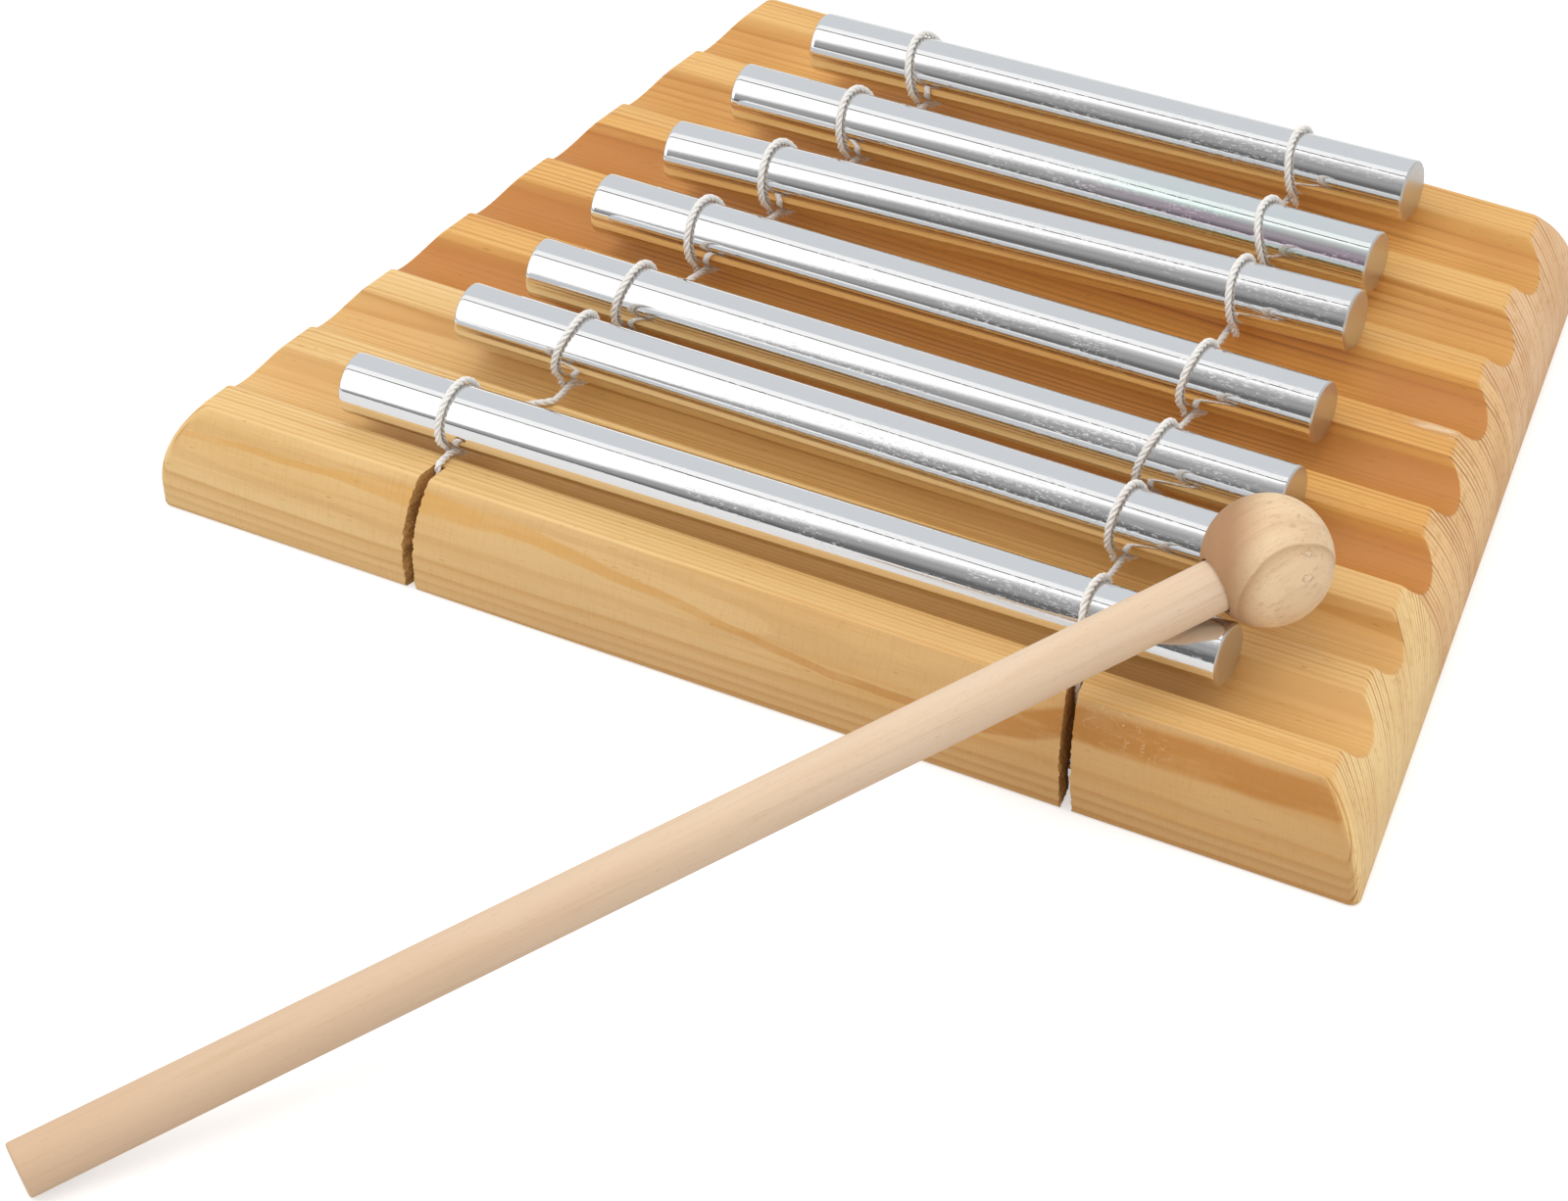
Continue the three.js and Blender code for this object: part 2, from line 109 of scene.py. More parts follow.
# The object's own coordinates in millimetres.
def millimetres(add):
    return add("VectorMath", add("TexCoord")["Object"], 1 / mm, operation="SCALE")


# Coordinates in millimetres that were kept on the mesh before it was put in place.
def ownPoint(add):
    return add("Attribute", attribute_name="own")["Vector"]


def meshPoints(piece):
    return np.array([tuple(v.co) for v in piece.data.vertices]) / mm


# Puts a mesh in place, keeping the coordinates that its material follows.
def settle(piece, place, own):
    layer = piece.data.attributes.new("own", "FLOAT_VECTOR", "POINT")
    layer.data.foreach_set("vector", np.array(own, np.float32).ravel())
    piece.data.transform(place)


# An empty material, and the function that adds nodes to it.
def newMaterial(name):
    material = bpy.data.materials.new(name)
    material.use_nodes = True
    material.node_tree.nodes.clear()
    return material, partial(addNode, material.node_tree)


# Distance across the grain from a tree's pith.
def fromPith(add, y, z, pith):
    across = add("CombineXYZ", y, z, 0.0)
    return add("VectorMath", across, (*pith, 0.0), operation="DISTANCE")


def newObject(name, vertices, faces, material, smooth=True):
    mesh = bpy.data.meshes.new(name)
    mesh.from_pydata([tuple(v) for v in vertices], [], faces)
    mesh.update()
    if smooth:
        mesh.shade_smooth()
    piece = bpy.data.objects.new(name, mesh)
    bpy.context.scene.collection.objects.link(piece)
    mesh.materials.append(material)
    return piece


def keepSharp(piece, degrees, weighted=False):
    piece.data.set_sharp_from_angle(angle=math.radians(degrees))
    if weighted:
        modifier = piece.modifiers.new("flat faces stay flat", "WEIGHTED_NORMAL")
        modifier.keep_sharp = True


def smoothStep(value):
    t = min(max(value, 0), 1)
    return t * t * (3 - 2 * t)


# Camera: the photo's own view, fitted to the board's corners and the rod ends.
camera = {
    "place": (443.289, -759.569, 727.951),
    "azimuth": 32.606,
    "elevation": 41.2145,
    "roll": 4.5709,
    "lens": 135.468,
}


def placeCamera():
    az, el, roll = (math.radians(camera[k]) for k in ("azimuth", "elevation", "roll"))
    forward = Vector((-math.sin(az) * math.cos(el), math.cos(az) * math.cos(el), -math.sin(el)))
    level = Vector((math.cos(az), math.sin(az), 0))
    upright = level.cross(forward)
    right = math.cos(roll) * level - math.sin(roll) * upright
    up = math.cos(roll) * upright + math.sin(roll) * level
    data = bpy.data.cameras.new("camera")
    data.lens = camera["lens"]
    data.sensor_width = 36
    data.sensor_fit = "HORIZONTAL"
    data.clip_start = 0.05
    piece = bpy.data.objects.new("camera", data)
    bpy.context.scene.collection.objects.link(piece)
    turn = Matrix((right, up, -forward)).transposed().to_4x4()
    piece.matrix_world = Matrix.Translation(Vector(camera["place"]) * mm) @ turn
    bpy.context.scene.camera = piece


placeCamera()
print("camera placed")

# Base: one board, worked as a barrel-edged trapezoid with seven coves, then parted at its glue lines.
base = {
    "height": 22.8,
    "depth": 174.5,
    "frontWidth": 254.4,
    "backWidth": 182.5,
    "footHeight": 5,
    "barrelRadius": 26.7,
    "footEase": 0.8,
    "frontEdgeRadius": 1.3,
    "endEdgeRadius": 0.6,
    "ridgeEndRadius": 1.8,
    "cornerRadius": 1.8,
    "ridgeWidth": 7.46,
    "grooveDepth": 5,
    "grooveCount": 7,
    "ridgeEdgeRadius": 0.6,
    "glueLines": (-27.25, 32.75),
    "kerfWidth": 2.35,
    "kerfLength": 11.2,
    "kerfRoughness": 0.34,
    "frontKerfShares": (-0.5495, 0.5448),
    "backKerfShares": (-0.394, 0.394),
    "pocketRadius": 4.25,
    "pocketDepth": 5.8,
    "columns": 60,
    "topStrip": 3.4,
    "rimStrip": 1.9,
    "footRows": (2.2, 3.7),
    "roundingFade": 2.2,
    "cutOverrun": 6,
    "sawnReach": 1.7,
}
barrelRadius, footHeight, baseHeight = base["barrelRadius"], base["footHeight"], base["height"]


def barrelInset(z):
    return barrelRadius - math.sqrt(barrelRadius ** 2 - max(z - footHeight, 0) ** 2)


topDepth = base["depth"] - 2 * barrelInset(baseHeight)
groovePitch = (topDepth - base["ridgeWidth"]) / base["grooveCount"]
grooveWidth = groovePitch - base["ridgeWidth"]
grooveRadius = ((grooveWidth / 2) ** 2 + base["grooveDepth"] ** 2) / (2 * base["grooveDepth"])
grooveAxisZ = baseHeight - base["grooveDepth"] + grooveRadius
sideSlope = (base["frontWidth"] - base["backWidth"]) / 2 / base["depth"]


def grooveY(index):
    return (topDepth - base["ridgeWidth"]) / 2 - groovePitch * (index + 0.5)


# Heights across the top from front to back: flat ridges, eased ridge edges and round coves.
def topRows():
    edge, edgeSteps, coveSteps = base["ridgeEdgeRadius"], 4, 12
    drop = grooveAxisZ - baseHeight + edge
    reach = math.sqrt((grooveRadius + edge) ** 2 - drop ** 2)
    tangent = math.atan2(drop, reach)
    start = topDepth / 2 - base["topStrip"]
    rows = [(-start, baseHeight)]
    for index in reversed(range(base["grooveCount"])):
        y = grooveY(index)
        left = rows[-1][0]
        right = y - reach
        for share in (0.12, 0.5, 0.88) if index < base["grooveCount"] - 1 else (0.5, 0.88):
            rows.append((left + (right - left) * share, baseHeight))
        side = []
        for k in range(edgeSteps + 1):
            angle = math.pi / 2 + (tangent - math.pi / 2) * k / edgeSteps
            side.append((edge * math.cos(angle) - reach, baseHeight - edge + edge * math.sin(angle)))
        for k in range(1, coveSteps + 1):
            angle = math.pi + tangent + (math.pi / 2 - tangent) * k / coveSteps
            side.append((grooveRadius * math.cos(angle), grooveAxisZ + grooveRadius * math.sin(angle)))
        rows.extend((y + dy, z) for dy, z in side)
        rows.extend((y - dy, z) for dy, z in reversed(side[:-1]))
    left = rows[-1][0]
    for share in (0.12, 0.5):
        rows.append((left + (start - left) * share, baseHeight))
    rows.append((start, baseHeight))
    return rows


# One upright profile of the barrel side, as (set-in from the foot outline, height), up to a given top.
def sideProfile(top, edge):
    ease, easeSteps, barrelSteps, edgeSteps = base["footEase"], 3, 14, 6
    levels = []
    for k in range(easeSteps + 1):
        angle = math.pi / 2 * k / easeSteps
        levels.append((ease * (1 - math.sin(angle)), ease * (1 - math.cos(angle))))
    levels += [(0, z) for z in base["footRows"]]
    centreZ = top - edge
    centreN = math.sqrt((barrelRadius - edge) ** 2 - (centreZ - footHeight) ** 2)
    tangent = math.atan2(centreZ - footHeight, centreN)
    for k in range(barrelSteps + 1):
        angle = tangent * k / barrelSteps
        levels.append(
            (barrelRadius - barrelRadius * math.cos(angle), footHeight + barrelRadius * math.sin(angle))
        )
    for k in range(1, edgeSteps + 1):
        angle = tangent + (math.pi / 2 - tangent) * k / edgeSteps
        levels.append((barrelRadius - centreN - edge * math.cos(angle), centreZ + edge * math.sin(angle)))
    return levels


def halfWidth(y, inset=0):
    return (base["frontWidth"] + base["backWidth"]) / 4 - sideSlope * y - inset * math.hypot(1, sideSlope)


# A point on the rounded corner at one set-in; share runs from the end face (0) to the front or back (1).
def cornerPoint(side, back, inset, share):
    y = (1 if back else -1) * (base["depth"] / 2 - inset)
    corner = Vector((side * halfWidth(y, inset), y))
    alongEnd = Vector((side * -sideSlope, 1)).normalized() * (-1 if back else 1)
    alongFront = Vector((-side, 0))
    half = alongEnd.angle(alongFront) / 2
    radius = base["cornerRadius"]
    centre = corner + (alongEnd + alongFront).normalized() * radius / math.sin(half)
    first = corner + alongEnd * radius / math.tan(half) - centre
    last = corner + alongFront * radius / math.tan(half) - centre
    turn = first.angle(last)
    spot = (first * math.sin((1 - share) * turn) + last * math.sin(share * turn)) / math.sin(turn)
    return centre + spot


def buildBoard():
    across = base["columns"]
    rows = topRows()
    edge, endEdge = base["frontEdgeRadius"], base["ridgeEndRadius"]
    columns = []

    # ridge ends are sanded round, while the coves' ends stay crisper
    def endRadius(top):
        share = smoothStep(1 + (top - baseHeight) / base["roundingFade"])
        return base["endEdgeRadius"] + (endEdge - base["endEdgeRadius"]) * share

    def straightColumn(back, share):
        points = []
        for inset, z in sideProfile(baseHeight, edge):
            a, b = cornerPoint(-1, back, inset, 1), cornerPoint(1, back, inset, 1)
            points.append((a.x + (b.x - a.x) * share, a.y, z))
        return points

    def cornerColumn(side, back, share):
        bend = endEdge + (edge - endEdge) * share
        return [(*cornerPoint(side, back, inset, share), z) for inset, z in sideProfile(baseHeight, bend)]

    def endColumn(side, y, top):
        return [(side * halfWidth(y, inset), y, z) for inset, z in sideProfile(top, endRadius(top))]

    def nearColumn(side, back, share):
        y = rows[-1][0] if back else rows[0][0]
        points = []
        for inset, z in sideProfile(baseHeight, endEdge):
            a = cornerPoint(side, back, inset, 0)
            there = a.y + (y - a.y) * share
            points.append((side * halfWidth(there, inset), there, z))
        return points

    steps = 5
    marks = {}
    marks["front"] = len(columns)
    columns += [straightColumn(False, i / across) for i in range(across + 1)]
    columns += [cornerColumn(1, False, 1 - k / steps) for k in range(1, steps + 1)]
    columns += [nearColumn(1, False, 1 / 2)]
    marks["right"] = len(columns)
    columns += [endColumn(1, y, z) for y, z in rows]
    columns += [nearColumn(1, True, 1 / 2)]
    columns += [cornerColumn(1, True, k / steps) for k in range(steps)]
    marks["back"] = len(columns)
    columns += [straightColumn(True, 1 - i / across) for i in range(across + 1)]
    columns += [cornerColumn(-1, True, 1 - k / steps) for k in range(1, steps + 1)]
    columns += [nearColumn(-1, True, 1 / 2)]
    marks["left"] = len(columns)
    columns += [endColumn(-1, y, z) for y, z in reversed(rows)]
    columns += [nearColumn(-1, False, 1 / 2)]
    columns += [cornerColumn(-1, False, k / steps) for k in range(steps)]
    count, levels = len(columns), len(columns[0])
    vertices = [point for column in columns for point in column]
    faces = []
    for c in range(count):
        d = (c + 1) % count
        for k in range(levels - 1):
            faces.append((c * levels + k, d * levels + k, d * levels + k + 1, c * levels + k + 1))
    faces.append(tuple(c * levels for c in reversed(range(count))))

    def rim(column):
        return (column % count) * levels + levels - 1

    last = len(rows) - 1
    inner = []
    for j, (y, z) in enumerate(rows):
        reach = abs(vertices[rim(marks["right"] + j)][0]) - base["rimStrip"]
        inner.append([])
        for i in range(across + 1):
            inner[j].append(len(vertices))
            vertices.append((-reach + 2 * reach * i / across, y, z))
    for j in range(last):
        for i in range(across):
            faces.append((inner[j][i], inner[j][i + 1], inner[j + 1][i + 1], inner[j + 1][i]))
        right = marks["right"] + j
        faces.append((inner[j][across], rim(right), rim(right + 1), inner[j + 1][across]))
        leftHere, leftNext = rim(marks["left"] + last - j), rim(marks["left"] + last - j - 1)
        faces.append((leftHere, inner[j][0], inner[j + 1][0], leftNext))
    for i in range(across):
        faces.append((rim(i), rim(i + 1), inner[0][i + 1], inner[0][i]))
        opposite = marks["back"] + across - i
        faces.append((inner[last][i], inner[last][i + 1], rim(opposite - 1), rim(opposite)))
    for corner, first, end in (
        (inner[0][across], across, marks["right"]),
        (inner[last][across], marks["right"] + last, marks["back"]),
        (inner[last][0], marks["back"] + across, marks["left"]),
        (inner[0][0], marks["left"] + last, count),
    ):
        faces.append((corner,) + tuple(rim(c) for c in range(first, end + 1)))
    return np.array(vertices) * mm, faces


# Where one saw kerf runs, parallel to the near end of the board, and where its cord drops.
def kerfPlace(side, back):
    share = (base["backKerfShares"] if back else base["frontKerfShares"])[side]
    footX = share * (base["backWidth"] if back else base["frontWidth"]) / 2
    footY = (1 if back else -1) * base["depth"] / 2
    inward = -1 if back else 1
    slope = -math.copysign(sideSlope, share)
    endY = footY + inward * base["kerfLength"]
    return {"footX": footX, "footY": footY, "inward": inward, "slope": slope, "endY": endY}


# The middle of a kerf at one depth behind the front or back side.
def kerfX(kerf, y):
    return kerf["footX"] + kerf["slope"] * (y - kerf["footY"])


def cutterObject(name, mesh):
    data = bpy.data.meshes.new(name)
    mesh.to_mesh(data)
    mesh.free()
    return bpy.data.objects.new(name, data)


# A saw-cut slot with rough walls, and the round pocket under it for the stopper knot.
def kerfCutter(side, back):
    kerf, overrun = kerfPlace(side, back), base["cutOverrun"]
    length, height = base["kerfLength"] + overrun, baseHeight + 2 * overrun
    mesh = bmesh.new()
    bmesh.ops.create_cube(mesh, size=1)
    for v in mesh.verts:
        v.co = Vector((v.co.x * base["kerfWidth"], v.co.y * length, v.co.z * height))
    for axis, cuts in ((2, 70), (1, 34)):
        edges = [e for e in mesh.edges if abs(e.verts[0].co[axis] - e.verts[1].co[axis]) > 1]
        bmesh.ops.subdivide_edges(mesh, edges=edges, cuts=cuts, use_grid_fill=True)
    middleY = kerf["endY"] - kerf["inward"] * length / 2
    for v in mesh.verts:
        p = v.co.copy()
        seed = Vector((side * 40 + back * 90, p.y * 0.9, p.z * 1.9))
        mouth = smoothStep((length / 2 - kerf["inward"] * p.y - 3.5) / 3)
        rough = base["kerfRoughness"] * mouth * (noise.noise(seed * 0.6) + 0.7 * noise.noise(seed * 1.9))
        p.x += rough * (1 if p.x > 0 else -1)
        y = p.y + middleY
        v.co = Vector((p.x + kerfX(kerf, y), y, p.z + baseHeight / 2)) * mm
    slot = cutterObject("kerf", mesh)
    dropY = kerf["endY"] - kerf["inward"]
    radius, depth = base["pocketRadius"] * mm, base["pocketDepth"] + overrun
    mesh = bmesh.new()
    bmesh.ops.create_cone(
        mesh, cap_ends=True, segments=48, radius1=radius, radius2=radius, depth=depth * mm
    )
    place = Vector((kerfX(kerf, dropY), dropY, (base["pocketDepth"] - overrun) / 2)) * mm
    bmesh.ops.translate(mesh, verts=mesh.verts, vec=place)
    return [slot, cutterObject("pocket", mesh)]


def cutBoard(board):
    for side in (0, 1):
        for back in (False, True):
            for cutter in kerfCutter(side, back):
                bpy.context.scene.collection.objects.link(cutter)
                cut = board.modifiers.new("cut", "BOOLEAN")
                cut.operation, cut.solver, cut.object = "DIFFERENCE", "MANIFOLD", cutter
                bpy.context.view_layer.update()
                evaluated = board.evaluated_get(bpy.context.evaluated_depsgraph_get())
                cutMesh = bpy.data.meshes.new_from_object(evaluated)
                board.modifiers.clear()
                board.data = cutMesh
                bpy.data.objects.remove(cutter)


# Marks the faces that the saw and the pocket drill left.
def markSawnFaces(data):
    skin = 0.05
    kerfs = [kerfPlace(side, back) for side in (0, 1) for back in (False, True)]
    for face in data.polygons:
        x, y, z = (c / mm for c in face.center)
        upright, sideways = abs(face.normal.z) < 0.5, abs(face.normal.x) > 0.5
        low = skin < z < base["pocketDepth"] + skin and abs(y) < base["depth"] / 2 - 2
        for kerf in kerfs:
            within = (kerf["endY"] - y) * kerf["inward"] > -skin
            near = abs(x - kerfX(kerf, y)) < base["sawnReach"]
            wall = upright and (sideways or abs(y - kerf["endY"]) < 0.4)
            pocket = math.hypot(x - kerf["footX"], y - kerf["endY"]) < base["pocketRadius"] + 2.5
            if (within and near and wall) or (pocket and low):
                face.material_index = 1


# Keeps the part of the board between two glue lines and closes it.
def staveMesh(board, front, back):
    mesh = bmesh.new()
    mesh.from_mesh(board.data)
    for y, outward in ((front, -1), (back, 1)):
        if y is None:
            continue
        everything = mesh.verts[:] + mesh.edges[:] + mesh.faces[:]
        place, outside = (0, y * mm, 0), (0, outward, 0)
        result = bmesh.ops.bisect_plane(
            mesh, geom=everything, dist=1e-7, plane_co=place, plane_no=outside, clear_outer=True
        )
        rim = [e for e in result["geom_cut"] if isinstance(e, bmesh.types.BMEdge)]
        bmesh.ops.contextual_create(mesh, geom=rim)
    data = bpy.data.meshes.new("stave")
    mesh.to_mesh(data)
    mesh.free()
    return data


# Planed and oiled pine. Growth rings lie round a pith below the stave. They show as fine straight lines on
# top, as broad bands where the front face runs along them, and as dense dark lines over the cut ends.
pine = {
    "front": {
        "slot": "pine_light", "early": "#efca8c", "late": "#d49c50", "deep": "#a4662a", "pale": "#fbd898",
        "pith": (30, -42), "ring": 0.9, "sway": 2.0, "contrast": 0.72,
        "rightShade": 0.3, "cove": 0.3, "rodBounceTone": "#fbca7c",
        "front": True, "highlightAt": None,
    },
    "middle": {
        "slot": "pine_amber", "early": "#ebb668", "late": "#c4803a", "deep": "#8c4f1e", "pale": "#f8cd90",
        "pith": (-190, -8), "ring": 1.22, "sway": 3.0, "contrast": 0.75,
        "rightShade": 0.35, "cove": 0.9, "rodBounceTone": "#f8b55c",
        "front": False, "highlightAt": (95.5, 13.6, 22.8),
    },
    "back": {
        "slot": "pine_gold", "early": "#ebbc74", "late": "#cd8e42", "deep": "#985b26", "pale": "#f4cb9c",
        "pith": (232, -8), "ring": 1.22, "sway": 3.0, "contrast": 0.7,
        "rightShade": 0.2, "cove": 0.6, "rodBounceTone": "#f8b964",
        "front": False, "highlightAt": None,
    },
}


# How much late wood shows: rings round the pith, swaying along the grain and of unequal width.
def growthRings(add, point, distance, look, seed):
    slow = swinging(add, point, (170, 60, 60), 1.0, 0.4, seed)
    wave = swinging(add, point, (40, 9, 9), 2.0, 0.5, seed + 3.1)
    bent = add("Math", slow, look["sway"], distance, operation="MULTIPLY_ADD")
    bent = add("Math", wave, 0.5, bent, operation="MULTIPLY_ADD")
    rings = add("Math", bent, look["ring"], operation="DIVIDE")
    # good and poor summers leave wide and narrow rings
    years = add("CombineXYZ", rings, 0.0, seed)
    uneven = add("Math", add("TexNoise", years, 0.23, 1.0)[0], 0.5, operation="SUBTRACT")
    rings = add("Math", uneven, 1.3, rings, operation="MULTIPLY_ADD")
    phase = add("Math", rings, operation="FRACT")
    late = add(
        "ValToRGB",
        phase,
        stops=[(0.0, 0.0), (0.35, 0.05), (0.62, 0.5), (0.8, 1.0), (0.93, 0.9), (1.0, 0.0)],
    )["Color"]
    each = add("TexWhiteNoise", add("Math", rings, operation="FLOOR"), noise_dimensions="1D")["Value"]
    return whereAll(add, late, add("MapRange", each, 0.0, 1.0, 0.35, 1.0))


# A resin-rich ring surfaces along the upper front face: a thin streak, and a wide patch at the right.
def resinBand(add, colour, point, frontFace):
    x, _, z = add("SeparateXYZ", point)
    across = add("MapRange", x, -130, 130)
    drift = swinging(add, point, (22, 200, 200), 3.0, 0.6, 2.2)
    drift = add("Math", drift, 1.6, operation="MULTIPLY")
    middleZ = add(
        "ValToRGB",
        across,
        stops=[
            (0.0, 0.76), (0.18, 0.85), (0.34, 0.84), (0.46, 0.72), (0.58, 0.57), (0.7, 0.56),
            (0.77, 0.815), (0.92, 0.835), (1.0, 0.85),
        ],
    )["Color"]
    middleZ = add("Math", middleZ, baseHeight, drift, operation="MULTIPLY_ADD")
    reach = add(
        "ValToRGB",
        across,
        stops=[
            (0.0, 0.02), (0.16, 0.03), (0.24, 0.085), (0.34, 0.05), (0.5, 0.03), (0.69, 0.04),
            (0.735, 0.12), (0.86, 0.125), (0.93, 0.115), (1.0, 0.11),
        ],
    )["Color"]
    offset = add("Math", add("Math", z, middleZ, operation="SUBTRACT"), operation="ABSOLUTE")
    offset = add("Math", offset, add("Math", reach, baseHeight, operation="MULTIPLY"), operation="DIVIDE")
    band = add("MapRange", offset, 0.75, 1.2, 1.0, 0.0, **soft)
    broken = add("MapRange", grain(add, point, (14, 5, 2.5), 3.0, 0.6, 6.1), 0.3, 0.55, 0.6, 1.0, **soft)
    band = whereAll(add, band, broken, frontFace)
    band = whereAll(add, band, add("MapRange", x, 45, 70, 0.66, 0.85, **soft))
    resin = add(
        "Mix", add("MapRange", x, -60, 60, **soft), linear("#dba452"), linear("#ba7a2c"), data_type="RGBA"
    )
    colour = add("Mix", band, colour, resin, data_type="RGBA")
    # whitish scribbles where the plane skipped over the resin
    skip = swinging(add, point, (5, 3, 2.2), 2.0, 0.6, 9.3)
    skip = add("MapRange", add("Math", skip, operation="ABSOLUTE"), 0.008, 0.0, 0.0, 0.4, **soft)
    here = whereAll(add, add("MapRange", x, 64, 70, **soft), add("MapRange", x, 92, 84, **soft))
    high = whereAll(add, add("MapRange", z, 15.5, 17.5, **soft), frontFace)
    skip = whereAll(add, skip, here, high)
    return tinted(add, colour, "#f3dcb4", skip)


# Painted highlight: a pale patch with a ragged edge round a spot on a ridge's edge, where it catches the
# light.
def paintedHighlight(add, point, spot):
    away = add("VectorMath", point, spot, operation="SUBTRACT")
    away = add("VectorMath", away, (1 / 6.2, 1 / 1.15, 1 / 1.2), operation="MULTIPLY")
    away = add("VectorMath", away, operation="LENGTH")
    patchEdge = swinging(add, point, (7, 0.3, 0.3), 2.0, 0.7, 31.0)
    away = add("Math", patchEdge, 3.6, away, operation="MULTIPLY_ADD")
    return add("MapRange", away, 0.45, 1.0, 1.0, 0.0, **soft)


def pineMaterial(name, look, seed):
    material, add = newMaterial(name)
    point = millimetres(add)
    x, y, z = add("SeparateXYZ", point)
    distance = fromPith(add, y, z, look["pith"])
    late = growthRings(add, point, distance, look, seed)
    fibre = grain(add, point, (9, 0.16, 0.16), 3.0, 0.6, seed + 7.7)
    streak = grain(add, point, (70, 1.8, 1.8), 2.0, 0.55, seed + 5.2)
    cloud = grain(add, point, (60, 12, 12), 2.0, 0.5, seed + 9.4)
    normalX, normalY, _ = add("SeparateXYZ", add("NewGeometry")["True Normal"])
    sideways = add("Math", normalX, operation="ABSOLUTE")
    endGrain = add("MapRange", sideways, 0.3, 0.85, **soft)
    forwards = add("MapRange", add("Math", normalY, -1.0, operation="MULTIPLY"), 0.45, 0.8, **soft)
    frontFace = whereAll(add, forwards, add("MapRange", y, -78.0, -80.0, **soft))
    # the cut ends of the late wood are dark where the ridges turn down, and sanded pale below
    sanded = add("MapRange", sideways, 0.78, 0.97, 1.0, 0.25, **soft)
    turning = whereAll(add, add("MapRange", sideways, 0.1, 0.45, **soft), sanded)
    shown = look["contrast"]
    if look["front"]:
        # on the planed front face only the lower rings show
        quiet = whereAll(add, frontFace, add("MapRange", z, 8.0, 13.0, 0.0, 0.75, **soft))
        shown = add("Math", shown, add("Math", 1.0, quiet, operation="SUBTRACT"), operation="MULTIPLY")
    colour = add("Mix", endGrain, linear(look["early"]), linear(look["pale"]), data_type="RGBA")
    colour = tinted(add, colour, look["late"], add("MapRange", cloud, 0.35, 0.7, 0.0, 0.3, **soft))
    sideGrain = add("Math", 1.0, endGrain, operation="SUBTRACT")
    # painted shade: the side grain turns a deeper orange towards the right end, where less light falls
    colour = tinted(
        add, colour, "#dc9c40", add("MapRange", x, -20, 110, 0.0, look["rightShade"], **soft), sideGrain
    )
    # painted shade browns the coves past the rods' ends; under the rods a painted warm light lifts them
    outer = add("Math", endGrain, frontFace, operation="MAXIMUM")
    inCove = whereAll(
        add, add("MapRange", z, 22.5, 20.0, **soft), add("Math", 1.0, outer, operation="SUBTRACT")
    )
    fromMiddle = add("Math", x, operation="ABSOLUTE")
    past = add("MapRange", fromMiddle, 56, 84, 0.0, look["cove"], **soft)
    # painted shade in the coves past the rods' ends
    colour = tinted(add, colour, look["late"], inCove, past)
    # painted light: the glow that the rods bounce into the coves beneath them
    rodBounce = add("MapRange", fromMiddle, 56, 84, 0.7, 0.0, **soft)
    colour = tinted(add, colour, look["rodBounceTone"], inCove, rodBounce)
    if look["front"]:
        # the front face is browner towards its right end, and its lower rings show as dark lines
        across = add("MapRange", x, -130, 130)
        browner = add(
            "ValToRGB",
            across,
            stops=[(0.0, 0.05), (0.18, 0.1), (0.36, 0.34), (0.6, 0.34), (0.8, 0.5), (1.0, 0.55)],
        )["Color"]
        browner = add("Math", browner, add("MapRange", z, 12.0, 1.0, 0.0, 0.06, **soft), operation="ADD")
        colour = tinted(add, colour, "#ba8a56", browner, frontFace)
        lower = add("MapRange", z, 13.5, 4.0, 0.0, 0.9, **soft)
        rightwards = add("MapRange", x, -100, 90, 0.25, 1.0, **soft)
        colour = tinted(add, colour, "#a06c38", late, frontFace, lower, rightwards)
    colour = tinted(add, colour, look["late"], late, shown)
    colour = tinted(add, colour, look["late"], add("MapRange", streak, 0.5, 0.75, 0.0, 0.4, **soft))
    sharpLate = add("Math", turning, 0.75, 0.12, operation="MULTIPLY_ADD")
    sharpLate = whereAll(add, sharpLate, add("MapRange", late, 0.45, 0.85, **soft))
    colour = tinted(add, colour, look["deep"], sharpLate)
    light = add("MapRange", fibre, 0.25, 0.75, 0.94, 1.05)
    colour = add("Mix", 1.0, colour, light, data_type="RGBA", blend_type="MULTIPLY")
    # short dark resin canals along the grain
    canal = add("MapRange", grain(add, point, (2.6, 0.3, 0.3), 0.0, 0.5, seed + 1.3), 0.78, 0.85, **soft)
    colour = tinted(add, colour, look["deep"], canal, 0.4)
    if look["front"]:
        colour = resinBand(add, colour, point, frontFace)
    # fine upright chatter lines that the planer left on the front face
    chatter = grain(add, point, (0.45, 26, 4), 2.0, 0.6, seed + 4.0)
    colour = tinted(
        add, colour, look["deep"], add("MapRange", chatter, 0.48, 0.76, 0.0, 0.11, **soft), frontFace
    )
    relief = add(
        "Math", late, 0.35, add("Math", fibre, 0.5, operation="MULTIPLY"), operation="MULTIPLY_ADD"
    )
    relief = add(
        "Math", add("Math", chatter, frontFace, operation="MULTIPLY"), 0.7, relief, operation="MULTIPLY_ADD"
    )
    if look["highlightAt"]:
        # painted highlight on the ridge's edge, with a slight dip in the bump
        torn = paintedHighlight(add, point, look["highlightAt"])
        colour = tinted(add, colour, "#f4dcbc", torn, 0.6)
        relief = add("Math", torn, -2.0, relief, operation="MULTIPLY_ADD")
    gloss = add(
        "Math",
        late,
        -0.08,
        add("Math", fibre, 0.16, 0.42, operation="MULTIPLY_ADD"),
        operation="MULTIPLY_ADD",
    )
    pores = grain(add, point, (3, 0.22, 0.22), 1.0, 0.5, seed + 2.5)
    relief = add(
        "Math", add("Math", pores, endGrain, operation="MULTIPLY"), 0.8, relief, operation="MULTIPLY_ADD"
    )
    bump = add("Bump", {"Strength": 0.5, "Distance": 0.00007, "Height": relief})
    shader = add("BsdfPrincipled", {"Base Color": colour, "Roughness": gloss, "IOR": 1.5, "Normal": bump})
    add("OutputMaterial", shader)
    return material


